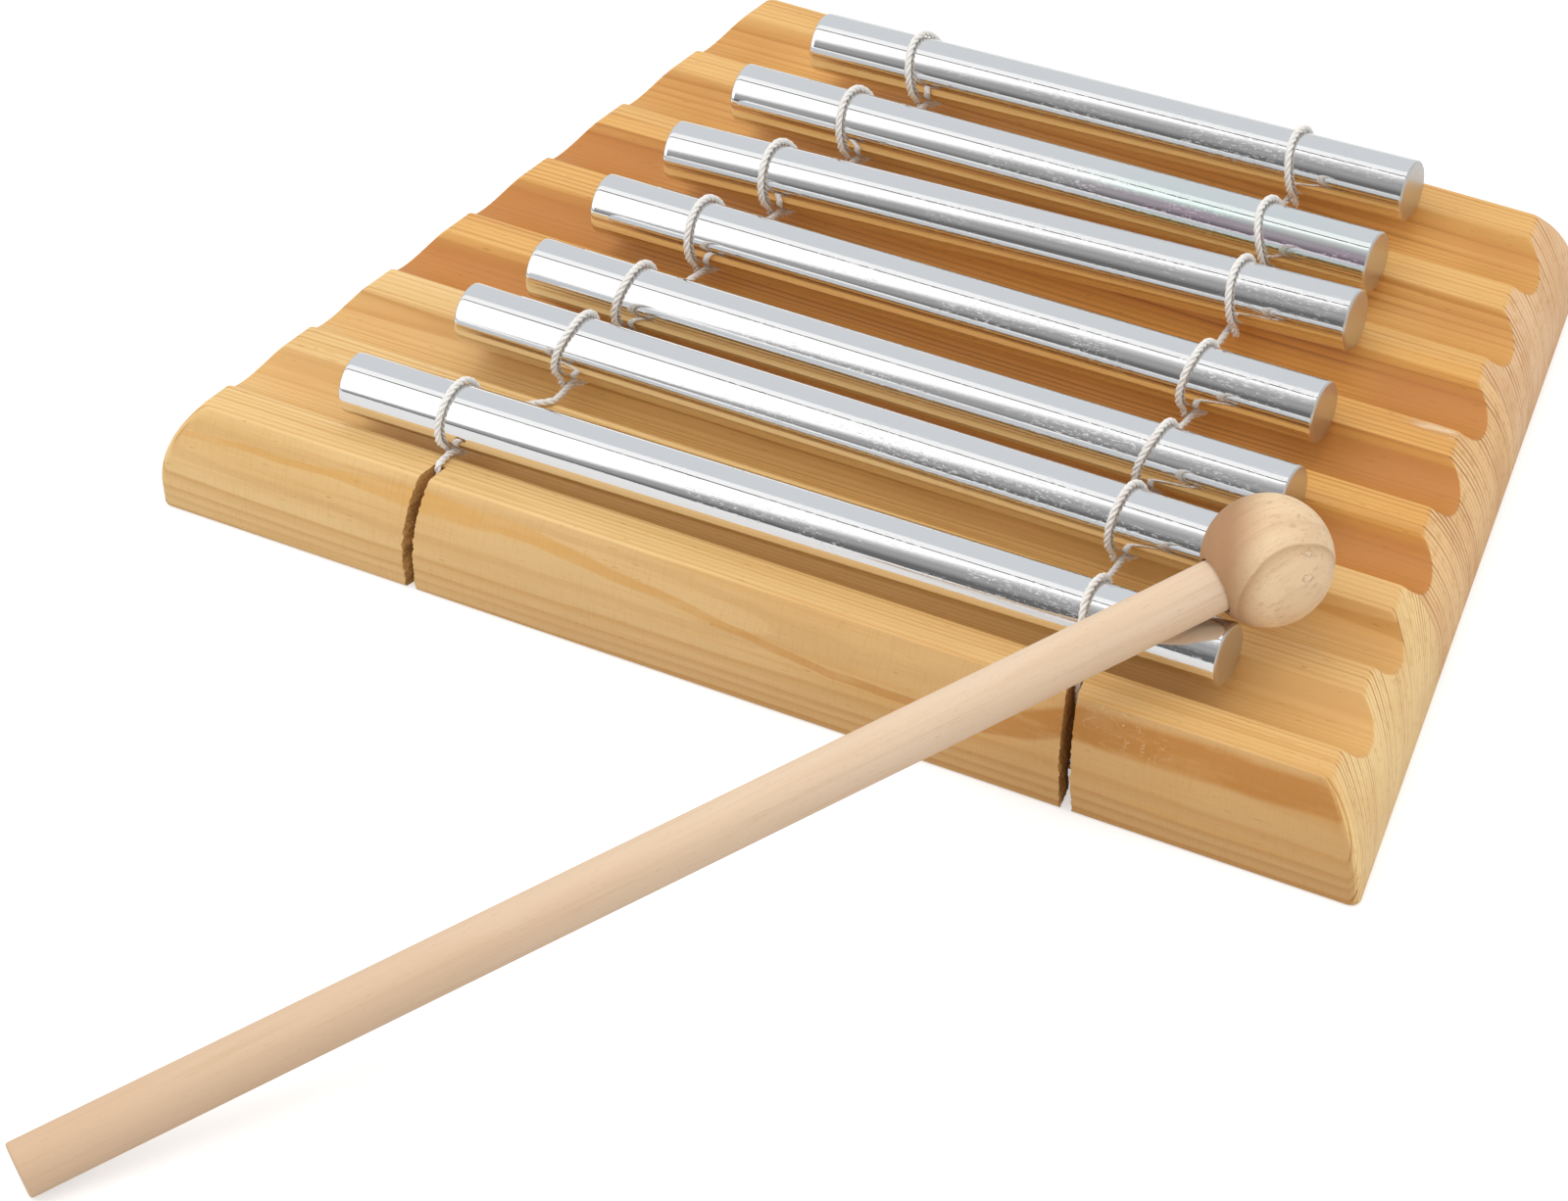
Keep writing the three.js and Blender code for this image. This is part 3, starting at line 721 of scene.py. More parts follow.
# Walls of the saw kerfs: torn brown fibres, darker than the planed wood.
def sawnMaterial():
    material, add = newMaterial("sawn pine")
    point = millimetres(add)
    torn = grain(add, point, (1.4, 0.5, 0.35), 3.0, 0.7, 3.0)
    burn = grain(add, point, (6, 3, 3), 2.0, 0.5, 8.0)
    colour = add(
        "Mix",
        add("MapRange", torn, 0.3, 0.7, **soft),
        linear("#bd8844"),
        linear("#e6b872"),
        data_type="RGBA",
    )
    colour = tinted(add, colour, "#94622a", add("MapRange", burn, 0.4, 0.7, 0.0, 0.55, **soft))
    bump = add("Bump", {"Strength": 0.8, "Distance": 0.00025, "Height": torn})
    add("OutputMaterial", add("BsdfPrincipled", {"Base Color": colour, "Roughness": 0.85, "Normal": bump}))
    return material


def buildBase():
    vertices, faces = buildBoard()
    board = newObject("board", vertices, faces, newMaterial("blank")[0])
    cutBoard(board)
    sawn = sawnMaterial()
    joints = [None, base["glueLines"][0], base["glueLines"][1], None]
    for i, part in enumerate(("front", "middle", "back")):
        data = staveMesh(board, joints[i], joints[i + 1])
        data.materials.clear()
        data.materials.append(pineMaterial(f"planed pine, {part} stave", pine[part], 11.0 + 17 * i))
        data.materials.append(sawn)
        markSawnFaces(data)
        data.shade_smooth()
        name = f"{part}_stave"
        data.name = name
        piece = bpy.data.objects.new(name, data)
        bpy.context.scene.collection.objects.link(piece)
        keepSharp(piece, 32, weighted=True)
        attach(piece, "base")
        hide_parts(f"base_{part}_stave")
    bpy.data.objects.remove(board)


buildBase()
print("base built")

# Rods: round bar cut to seven lengths, each hanging a little askew, as in the photo.
rods = {
    "diameter": 12,
    "longest": 182.9,
    "chamfer": 0.35,
    "ease": 0.09,
    "endStrip": 4,
    "sides": 96,
    "lengthShares": (0.7037, 0.7523, 0.7944, 0.8453, 0.8786, 0.9377, 1),
    "shiftShares": (0.0004, -0.0102, -0.0024, 0.0026, 0.0146, 0.0213, -0.0008),
    "offsetShares": (0.058, 0.0484, 0.1072, 0.0578, 0.0169, 0.1255, -0.0246),
    "liftShares": (1.0358, 1.0083, 1.115, 0.9817, 0.8667, 1.1, 0.9167),
    "yawSlopes": (0.031, 0.0219, 0.0403, 0.0109, 0.0063, 0.0016, 0.0136),
    "tiltSlopes": (0.0097, 0.0056, 0.016, 0.0034, 0, 0, 0),
}
rodRadius = rods["diameter"] / 2
rodCount = base["grooveCount"]


def rodPlace(index):
    length = rods["longest"] * rods["lengthShares"][index]
    direction = Vector((1, rods["yawSlopes"][index], rods["tiltSlopes"][index])).normalized()
    middle = Vector((
        length * rods["shiftShares"][index],
        grooveY(index) + groovePitch * rods["offsetShares"][index],
        baseHeight + rodRadius * rods["liftShares"][index],
    ))
    return length, direction, middle


# Turns (radius, along) points about the X axis.
def latheMesh(profile, sides):
    vertices, faces, rings = [], [], []
    for radius, along in profile:
        if radius < 1e-9:
            rings.append([len(vertices)])
            vertices.append((along, 0, 0))
            continue
        rings.append(list(range(len(vertices), len(vertices) + sides)))
        for k in range(sides):
            angle = 2 * math.pi * k / sides
            vertices.append((along, radius * math.cos(angle), radius * math.sin(angle)))
    for a, b in zip(rings, rings[1:]):
        for k in range(sides):
            m = (k + 1) % sides
            if len(a) == 1:
                faces.append((a[0], b[m], b[k]))
            elif len(b) == 1:
                faces.append((a[k], a[m], b[0]))
            else:
                faces.append((a[k], a[m], b[m], b[k]))
    return np.array(vertices) * mm, faces


# Drawn aluminium bar: mirror bright, with fine draw lines, handling scratches and faced ends.
def aluminiumMaterial(name, seed, tint=False):
    material, add = newMaterial(name)
    point = ownPoint(add)
    x, y, z = add("SeparateXYZ", point)
    fromAxis = add("VectorMath", add("CombineXYZ", 0.0, y, z), operation="LENGTH")
    normalX = add("SeparateXYZ", add("TexCoord")["Normal"])[0]
    ends = add("MapRange", add("Math", normalX, operation="ABSOLUTE"), 0.4, 0.9, **soft)
    draw = grain(add, point, (60, 0.1, 0.1), 3.0, 0.65, seed)
    scuff = grain(add, point, (1.3, 0.28, 0.28), 2.0, 0.65, seed + 2.0)
    patch = grain(add, point, (18, 5, 5), 2.0, 0.5, seed + 5.0)
    scratched = whereAll(
        add, add("MapRange", scuff, 0.57, 0.66, **soft), add("MapRange", patch, 0.4, 0.62, 0.1, 1.0, **soft)
    )
    scratched = whereAll(add, scratched, add("MapRange", x, -50, 15, 0.1, 1.0, **soft))
    rough = add(
        "Math",
        scratched,
        0.22,
        add("Math", draw, 0.04, 0.018, operation="MULTIPLY_ADD"),
        operation="MULTIPLY_ADD",
    )
    facing = add("Math", add("Math", fromAxis, 4.2, operation="MULTIPLY"), operation="FRACT")
    rough = add("Mix", ends, rough, add("Math", facing, 0.06, 0.3, operation="MULTIPLY_ADD"))
    colour = add("Mix", ends, linear("#f0f0f0"), linear("#d0ceca"), data_type="RGBA")
    if tint:
        # a faint rainbow film on the right half of this rod
        film = whereAll(
            add, add("MapRange", x, 0, 26, **soft), add("MapRange", patch, 0.3, 0.6, 0.35, 1.0, **soft)
        )
        turned = add("MapRange", add("Math", z, y, operation="ARCTAN2"), 1.0, 3.1)
        hues = ((0, "#eff0f0"), (0.4, "#e8f0ee"), (0.58, "#dff0ea"), (0.66, "#efdcec"), (0.77, "#ecd8e8"))
        hues += ((0.86, "#dff0e6"), (1, "#eff0f0"))
        hue = add("ValToRGB", turned, stops=[(place, linear(tone)) for place, tone in hues])["Color"]
        colour = add(
            "Mix",
            add("Math", film, add("Math", 1.0, ends, operation="SUBTRACT"), operation="MULTIPLY"),
            colour,
            hue,
            data_type="RGBA",
        )
    relief = add(
        "Math", draw, 0.6, add("Math", scratched, 2.0, operation="MULTIPLY"), operation="MULTIPLY_ADD"
    )
    relief = add(
        "Math", add("Math", facing, ends, operation="MULTIPLY"), 1.6, relief, operation="MULTIPLY_ADD"
    )
    bump = add("Bump", {"Strength": 0.45, "Distance": 0.0000045, "Height": relief})
    shader = add(
        "BsdfPrincipled", {"Base Color": colour, "Metallic": 1.0, "Roughness": rough, "Normal": bump}
    )
    add("OutputMaterial", shader)
    return material


def rodProfile(length):
    half, chamfer, ease, steps = length / 2, rods["chamfer"], rods["ease"], 24
    end = [(rodRadius * share, half) for share in (0, 0.35, 0.7)]
    strip = rods["endStrip"]
    end += [
        (rodRadius - chamfer - ease, half),
        (rodRadius - chamfer, half - ease / 3),
        (rodRadius - ease * 2 / 3, half - chamfer + ease * 2 / 3),
        (rodRadius, half - chamfer - ease),
        (rodRadius, half - chamfer - 0.6),
    ]
    body = [(rodRadius, half - strip - (length - 2 * strip) * k / steps) for k in range(steps + 1)]
    return end + body + [(radius, -along) for radius, along in reversed(end)]


def buildRods():
    for index in range(rodCount):
        length, direction, middle = rodPlace(index)
        profile = [(radius, -along) for radius, along in rodProfile(length)]
        vertices, faces = latheMesh(profile, rods["sides"])
        material = aluminiumMaterial(f"drawn aluminium {index + 1}", 3.0 + 13 * index, tint=index == 1)
        piece = newObject(f"bar_{index + 1}", vertices, faces, material)
        turn = Vector((1, 0, 0)).rotation_difference(direction).to_matrix().to_4x4()
        settle(piece, Matrix.Translation(middle * mm) @ turn, meshPoints(piece))
        keepSharp(piece, 24)
        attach(piece, f"rod_{index + 1}_body")
        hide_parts(f"rod_{index + 1}")


buildRods()
print("rods built")

# Cords: three plies laid together, hitched once round every rod.
cords = {
    "diameter": 1.42,
    "toRod": 0.04,
    "toBoard": 0.06,
    "strandGap": 0.12,
    "plies": 3,
    "plyRadius": 0.35,
    "layLength": 4.4,
    "plySides": 8,
    "ringStep": 0.42,
    "knotTurnRadius": 2.6,
    "knotRise": 3.1,
    "flattened": 0.27,
    "strayFibres": 6,
    "barestHeight": 26.4,
}
leftCord = {
    "name": "cord_left",
    "outward": -1,
    "placeShares": (-0.3329, -0.3249, -0.35, -0.359, -0.365, -0.3548, -0.3743),
    "leanShares": (0.32, 0.23, 0.17, 0.12, -0.23, -0.37, -0.07),
    "hand": (1, 1, 1, 1, 1, 1, 1),
    "kerf": 0,
}
rightCord = {
    "name": "cord_right",
    "outward": 1,
    "placeShares": (0.3089, 0.3278, 0.3334, 0.3351, 0.332, 0.321, 0.354),
    "leanShares": (0.28, 0.47, 0.22, -0.22, -0.38, -0.1, 0.18),
    "hand": (1, 1, 1, -1, -1, -1, 1),
    "kerf": 1,
}
cordRadius = cords["diameter"] / 2
loopRadius = rodRadius + cords["toRod"] + cordRadius
strandPitch = cords["diameter"] + cords["strandGap"]
crossRadius = loopRadius + strandPitch
rideHeight = baseHeight + cordRadius + cords["toBoard"]


# Farthest the cord can hang from a rod in one direction before it nears the cove's wall.
def roomBelow(centre, index, angle):
    toAxisY, toAxisZ = grooveY(index) - centre.y, grooveAxisZ - centre.z
    room = grooveRadius - cordRadius - cords["toBoard"] - 0.12
    along = math.sin(angle) * toAxisY - math.cos(angle) * toAxisZ
    return along + math.sqrt(max(along ** 2 - toAxisY ** 2 - toAxisZ ** 2 + room ** 2, 0))


# The point where the cord passes between a ridge's edge and the rod.
def pastEdge(centre, edgeY, x):
    edge = Vector((edgeY, baseHeight))
    towards = Vector((centre.y, centre.z)) - edge
    spare = (towards.length - rodRadius) / 2
    stand = min(cordRadius + cords["toBoard"], spare)
    spot = edge + towards.normalized() * stand
    return Vector((x, spot.x, spot.y))


# The cord's route round one rod, with the numbers of its first and last point on the rod.
def hitch(cord, index):
    length, direction, middle = rodPlace(index)
    topX = middle.x + length * cord["placeShares"][index]
    centre = middle + direction * ((topX - middle.x) / direction.x)
    frontX = topX + rodRadius * cord["leanShares"][index]
    inner = -cord["outward"] * cord["hand"][index] * strandPitch
    leaveX, enterX = frontX + inner * 1.05, frontX + inner * 2.2

    def at(degrees, radius, x):
        angle = math.radians(degrees)
        return Vector((x, centre.y + radius * math.sin(angle), centre.z - radius * math.cos(angle)))

    backEdge, frontEdge = grooveY(index) + grooveWidth / 2, grooveY(index) - grooveWidth / 2
    cross = math.degrees(math.atan2(grooveY(index) - centre.y, centre.z - grooveAxisZ)) * 0.15
    edgeRun = cordRadius / 3
    points = []
    clearOfLoop = centre.y + loopRadius + cordRadius
    if clearOfLoop > backEdge + 3 * edgeRun:
        points.append(Vector((enterX, clearOfLoop, rideHeight)))
    points.append(Vector((enterX, backEdge + edgeRun, rideHeight)))
    points.append(pastEdge(centre, backEdge, enterX))
    for offset, share in ((22, 0), (11, 0.22), (0, 0.5), (-11, 0.78), (-22, 1)):
        radius = min(crossRadius, roomBelow(centre, index, math.radians(cross + offset)))
        points.append(at(cross + offset, radius, enterX + (frontX - enterX) * share))
    climb = cross - 38
    climbRadius = min(crossRadius * 0.2 + loopRadius * 0.8, roomBelow(centre, index, math.radians(climb)))
    first = len(points)
    points.append(at(climb, max(climbRadius, loopRadius), frontX))
    points.append(at(climb - 15, loopRadius + 0.04, frontX))
    for degrees in range(-70, -181, -15):
        points.append(at(degrees, loopRadius, frontX + (topX - frontX) * smoothStep((-degrees - 70) / 110)))
    for degrees in range(165, -16, -15):
        points.append(at(degrees, loopRadius, topX + (leaveX - topX) * smoothStep((165 - degrees) / 130)))
    last = len(points) - 1
    exitPoint = pastEdge(centre, frontEdge, leaveX)
    exitReach = math.hypot(exitPoint.y - centre.y, exitPoint.z - centre.z)
    exitAngle = math.degrees(math.atan2(exitPoint.y - centre.y, centre.z - exitPoint.z))
    letGo = exitAngle + math.degrees(math.acos(min(loopRadius / exitReach, 1)))
    degrees = -25
    while degrees > letGo + 5:
        points.append(at(degrees, loopRadius, leaveX))
        degrees -= 10
    points.append(exitPoint)
    points.append(Vector((leaveX, frontEdge - edgeRun, rideHeight)))
    return points, first, last


# One cord end, from the ridge down its kerf to the stopper knot in the pocket.
def cordEnd(side, back):
    kerf = kerfPlace(side, back)
    stand = cordRadius + cords["toBoard"]
    points = []
    for degrees in (0, 30, 60, 90):
        angle = math.radians(degrees)
        y = kerf["endY"] - kerf["inward"] * stand * math.sin(angle)
        points.append(Vector((kerfX(kerf, y), y, baseHeight + stand * math.cos(angle))))
    dropY = kerf["endY"] - kerf["inward"] * stand
    drop = Vector((kerfX(kerf, dropY), dropY, 0))
    points += [Vector((drop.x, drop.y, baseHeight * share)) for share in (0.85, 0.6, 0.35)]
    turnZ, rise, wide = cordRadius + 0.4, cords["knotRise"], cords["knotTurnRadius"]

    def around(radius, degrees, z):
        angle = math.radians(degrees)
        return Vector((drop.x + radius * math.cos(angle), drop.y + radius * math.sin(angle), z))

    points.append(around(0, 0, turnZ + rise * 1.25))
    points.append(around(wide * 0.07, -110, turnZ + rise * 0.75))
    points.append(around(wide * 0.4, -80, turnZ + rise * 0.38))
    points.append(around(wide * 0.8, -40, turnZ + rise * 0.1))
    points += [around(wide, degrees, turnZ + rise * degrees / 360) for degrees in range(0, 301, 30)]
    tangent = Vector((-math.sin(math.radians(300)), math.cos(math.radians(300)), 0))
    points.append(points[-1] + tangent * 1.6)
    return points


# A smooth curve through the points, even in distance, and where each point lies along it.
def evenCurve(points, step):
    p = np.array([tuple(v) for v in points])
    p = np.vstack([2 * p[0] - p[1], p, 2 * p[-1] - p[-2]])
    samples, marks = [], []
    for i in range(1, len(p) - 2):
        p0, p1, p2, p3 = p[i - 1], p[i], p[i + 1], p[i + 2]
        gaps = [max(np.linalg.norm(b - a), 1e-6) ** 0.5 for a, b in ((p0, p1), (p1, p2), (p2, p3))]
        t0, t1, t2, t3 = (sum(gaps[:k]) for k in range(4))
        marks.append(len(samples))
        for t in np.linspace(t1, t2, 24, endpoint=False):
            a1 = (t1 - t) / (t1 - t0) * p0 + (t - t0) / (t1 - t0) * p1
            a2 = (t2 - t) / (t2 - t1) * p1 + (t - t1) / (t2 - t1) * p2
            a3 = (t3 - t) / (t3 - t2) * p2 + (t - t2) / (t3 - t2) * p3
            b1 = (t2 - t) / (t2 - t0) * a1 + (t - t0) / (t2 - t0) * a2
            b2 = (t3 - t) / (t3 - t1) * a2 + (t - t1) / (t3 - t1) * a3
            samples.append((t2 - t) / (t2 - t1) * b1 + (t - t1) / (t2 - t1) * b2)
    marks.append(len(samples))
    samples.append(p[-2])
    samples = np.array(samples)
    along = np.concatenate([[0], np.cumsum(np.linalg.norm(np.diff(samples, axis=0), axis=1))])
    count = int(round(along[-1] / step)) + 1
    even = np.linspace(0, along[-1], count)
    curve = np.stack([np.interp(even, along, samples[:, k]) for k in range(3)], axis=1)
    places = [int(round(along[m] / along[-1] * (count - 1))) for m in marks]
    return curve, places


# Unturning frames along a curve.
def frames(curve):
    tangents = np.gradient(curve, axis=0)
    tangents /= np.linalg.norm(tangents, axis=1)[:, None]
    side = np.cross(tangents[0], (0.0, 0.3, 1.0))
    side /= np.linalg.norm(side)
    sides = [side]
    for i in range(1, len(curve)):
        side = side - tangents[i] * np.dot(side, tangents[i])
        side /= np.linalg.norm(side)
        sides.append(side)
    sides = np.array(sides)
    return tangents, sides, np.cross(tangents, sides)


# Every ply's rings along the whole cord.
def plyRings(curve):
    tangents, across, up = frames(curve)
    step = np.linalg.norm(np.diff(curve, axis=0), axis=1).mean()
    along = np.arange(len(curve)) * step
    plyRadius = cords["plyRadius"]
    offset = cordRadius - plyRadius - 0.005
    result = []
    for ply in range(cords["plies"]):
        wobble = np.array([noise.noise(Vector((s * 0.35, ply * 9.1, 2.0))) for s in along])
        phase = 2 * math.pi * (along / cords["layLength"] + ply / cords["plies"]) + 0.35 * wobble
        centre = curve + offset * (np.cos(phase)[:, None] * across + np.sin(phase)[:, None] * up)
        plyTangents = np.gradient(centre, axis=0)
        plyTangents /= np.linalg.norm(plyTangents, axis=1)[:, None]
        outward = np.cos(phase)[:, None] * across + np.sin(phase)[:, None] * up
        outward -= plyTangents * np.sum(outward * plyTangents, axis=1)[:, None]
        outward /= np.linalg.norm(outward, axis=1)[:, None]
        third = np.cross(plyTangents, outward)
        angles = 2 * math.pi * np.arange(cords["plySides"]) / cords["plySides"]
        cosines, sines = np.cos(angles)[None, :, None], np.sin(angles)[None, :, None]
        rings = cosines * outward[:, None, :] + sines * third[:, None, :]
        result.append(centre[:, None, :] + plyRadius * rings)
    return result, along


# Under its rod the cord is pressed flat, which also leaves room for the rod to give.
def flattenUnder(rings, curve, index, first, last):
    length, direction, middle = rodPlace(index)
    inner = rodRadius + cords["toRod"]

    def window(angle, start, end):
        return smoothStep((angle - start) / 11) * smoothStep((end - angle) / 18)

    for i in range(first, last + 1):
        centre = middle + direction * ((curve[i][0] - middle.x) / direction.x)
        angle = math.degrees(math.atan2(curve[i][1] - centre.y, centre.z - curve[i][2]))
        share = 1 - cords["flattened"] * (window(angle, 2, 75) + window(-angle, 34, 75))
        for ply in rings:
            spots = ply[i][:, 1:] - (centre.y, centre.z)
            reach = np.linalg.norm(spots, axis=1)[:, None]
            ply[i][:, 1:] = (centre.y, centre.z) + spots * (inner + (reach - inner) * share) / reach


# One stretch of cord as a mesh: each ply a closed tube, with a UV map of (turn round the ply, mm along it).
def cordPiece(name, rings, along, start, end, material, fuzz=()):
    vertices, faces, uvs = [], [], []
    sides = cords["plySides"]
    for ply in rings:
        part = ply[start:end + 1]
        first = len(vertices)
        vertices.extend(part.reshape(-1, 3))
        for i in range(len(part) - 1):
            for k in range(sides):
                m = (k + 1) % sides
                a = first + i * sides
                faces.append((a + k, a + m, a + m + sides, a + k + sides))
                u0, u1, v0, v1 = k / sides, (k + 1) / sides, along[start + i], along[start + i + 1]
                uvs += [(u0, v0), (u1, v0), (u1, v1), (u0, v1)]
        faces.append(tuple(first + k for k in reversed(range(sides))))
        faces.append(tuple(first + (len(part) - 1) * sides + k for k in range(sides)))
        uvs += [(0.5, along[start])] * sides + [(0.5, along[end])] * sides
    for strand in fuzz:
        first = len(vertices)
        vertices.extend(strand)
        for i in range(len(strand) // 3 - 1):
            for k in range(3):
                a, m = first + i * 3, (k + 1) % 3
                faces.append((a + k, a + m, a + m + 3, a + k + 3))
                uvs += [(0.5, 0.0)] * 4
        faces.append((first + 2, first + 1, first))
        faces.append(tuple(len(vertices) - 3 + k for k in range(3)))
        uvs += [(0.5, 0.0)] * 6
    piece = newObject(name, np.array(vertices) * mm, faces, material)
    layer = piece.data.uv_layers.new(name="ply")
    layer.data.foreach_set("uv", np.array(uvs, np.float32).ravel())
    return piece


# Stray fibres that stand off the cord: short bent hairs, each a thin closed tube.
def strayFibres(curve, start, end, random, lowest=0.0):
    strands = []
    for _ in range(cords["strayFibres"]):
        i = int(random.integers(start + 2, max(end - 2, start + 3)))
        if curve[i][2] < lowest:
            continue
        heading = random.normal(size=3)
        heading /= np.linalg.norm(heading)
        tangent = curve[min(i + 1, len(curve) - 1)] - curve[i - 1]
        tangent /= np.linalg.norm(tangent)
        out = heading - tangent * np.dot(heading, tangent)
        out /= np.linalg.norm(out)
        lie = tangent * random.choice((-1, 1))
        reach = random.uniform(0.5, 1.5)
        thin, thirds = 0.022, (0, 2.094, 4.189)
        strand = []
        side = np.cross(out, lie)
        for k in range(5):
            t = k / 4
            lift = cordRadius * 0.85 + reach * 0.42 * math.sin(t * 1.9)
            spot = curve[i] + out * lift + lie * reach * t + side * 0.25 * reach * t * t * heading[0]
            spot[2] = max(spot[2], 0.3)
            width = thin * (1 - 0.6 * t)
            for a in thirds:
                strand.append(spot + width * (math.cos(a) * out + math.sin(a) * side))
        strands.append(np.array(strand))
    return strands


# Soft natural cotton: a warm off-white, fine yarn lines wound round each ply, no gloss.
def cottonMaterial():
    material, add = newMaterial("twisted cotton")
    u, v, _ = add("SeparateXYZ", add("UVMap", uv_map="ply"))
    turn = add("Math", v, 0.8, u, operation="MULTIPLY_ADD")
    yarn = add("Math", add("Math", turn, 2 * math.pi * 5, operation="MULTIPLY"), operation="SINE")
    point = millimetres(add)
    speck = grain(add, point, (0.5, 0.5, 0.5), 3.0, 0.7, 1.0)
    soil = grain(add, point, (7, 7, 7), 2.0, 0.5, 4.0)
    lines = add("Math", yarn, 0.25, speck, operation="MULTIPLY_ADD")
    colour = add(
        "Mix",
        add("MapRange", lines, 0.1, 0.75, **soft),
        linear("#e6e1d9"),
        linear("#fffdfa"),
        data_type="RGBA",
    )
    colour = tinted(add, colour, "#ecdccf", add("MapRange", soil, 0.5, 0.8, 0.0, 0.4, **soft))
    bump = add("Bump", {"Strength": 0.5, "Distance": 0.00006, "Height": lines})
    dull = {"Roughness": 0.9, "Sheen Weight": 0.25, "Sheen Roughness": 0.5}
    add("OutputMaterial", add("BsdfPrincipled", {"Base Color": colour, "Normal": bump, **dull}))
    return material


# One cord in stretches: each hitch rides on its rod, and the strands between run from the board to the rods.
def buildCord(cord, cotton):
    random = np.random.default_rng(41 + cord["kerf"])
    points = list(reversed(cordEnd(cord["kerf"], True)))
    spans = []
    for index in range(rodCount):
        route, first, last = hitch(cord, index)
        spans.append((len(points), len(points) + first, len(points) + last, len(points) + len(route) - 1))
        points += route
    points += cordEnd(cord["kerf"], False)
    curve, places = evenCurve(points, cords["ringStep"])
    rings, along = plyRings(curve)
    name, pieces = cord["name"], []

    def stretch(part, start, end, fibres=()):
        piece = cordPiece(f"{name}_{part}", rings, along, start, end, cotton, fibres)
        pieces.append(piece)
        return piece

    def spot(place):
        return tuple(curve[place] * mm)

    for index, span in enumerate(spans):
        enter, first, last, leave = (places[number] for number in span)
        flattenUnder(rings, curve, index, first, last)
        body = f"rod_{index + 1}_body"
        if index == 0:
            before = places[span[0] - 1]
            midway = before + (enter - before) // 2
            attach(stretch("back_end", 0, midway), "base")
        else:
            midway = (previous + enter) // 2
        fibres = strayFibres(curve, midway, first, random)
        piece = stretch(f"into_{index + 1}", midway, first, fibres)
        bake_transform(piece)
        # none low on the rod, where the cord presses on the ridge's edge
        fibres = strayFibres(curve, first, last, random, cords["barestHeight"])
        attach(stretch(f"turned{index + 1}", first, last, fibres), body)
        previous = leave
        after = (leave + places[spans[index + 1][0] if index + 1 < rodCount else span[3] + 1]) // 2
        fibres = strayFibres(curve, last, after, random)
        piece = stretch(f"from_{index + 1}", last, after, fibres)
        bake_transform(piece)
    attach(stretch("front_end", after, len(curve) - 1), "base")
    for piece in pieces:
        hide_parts(name)
    print(f"{name}: {along[-1]:.0f} mm, {len(pieces)} pieces")


def buildCords():
    cotton = cottonMaterial()
    for cord in (leftCord, rightCord):
        buildCord(cord, cotton)


buildCords()
print("cords built")

# Mallet: a turned ball on a dowel, lying on the two longest rods and the table.
mallet = {
    "ballDiameter": 23.9,
    "reach": 242.6,
    "headDiameter": 9.7,
    "gripDiameter": 10.4,
    "pastCentre": 3,
    "toHole": 0.25,
    "toHoleEnd": 0.3,
    "ballToRods": 0.25,
    "gripToTable": 0.1,
    "placeShare": 1.0186,
    "heading": -125.6,
    "ballSides": 144,
    "handleSides": 72,
}
ballRadius = mallet["ballDiameter"] / 2


def ballCentre():
    x = rods["longest"] / 2 * mallet["placeShare"]
    seats = []
    for index in (rodCount - 1, rodCount - 2):
        length, direction, middle = rodPlace(index)
        endX = middle.x + direction.x * length / 2
        end = middle + direction * ((min(endX, x) - middle.x) / direction.x)
        past = max(x - endX, 0)
        seats.append(
            (end.y, end.z, rodRadius + math.sqrt((ballRadius + mallet["ballToRods"]) ** 2 - past ** 2))
        )
    (nearY, nearZ, nearReach), (farY, farZ, farReach) = seats
    apart = math.hypot(farY - nearY, farZ - nearZ)
    along = (nearReach ** 2 - farReach ** 2 + apart ** 2) / (2 * apart)
    rise = math.sqrt(nearReach ** 2 - along ** 2)
    unitY, unitZ = (farY - nearY) / apart, (farZ - nearZ) / apart
    return Vector((x, nearY + along * unitY - rise * unitZ, nearZ + along * unitZ + rise * unitY))


def malletTurn(centre):
    grip = mallet["gripDiameter"] / 2
    drop, span = centre.z - mallet["gripToTable"], math.hypot(mallet["reach"], grip)
    slope = math.asin(drop / span) - math.atan2(grip, mallet["reach"])
    heading = math.radians(mallet["heading"])
    direction = Vector(
        (math.cos(heading) * math.cos(slope), math.sin(heading) * math.cos(slope), -math.sin(slope))
    )
    return Vector((1, 0, 0)).rotation_difference(direction).to_matrix().to_4x4()


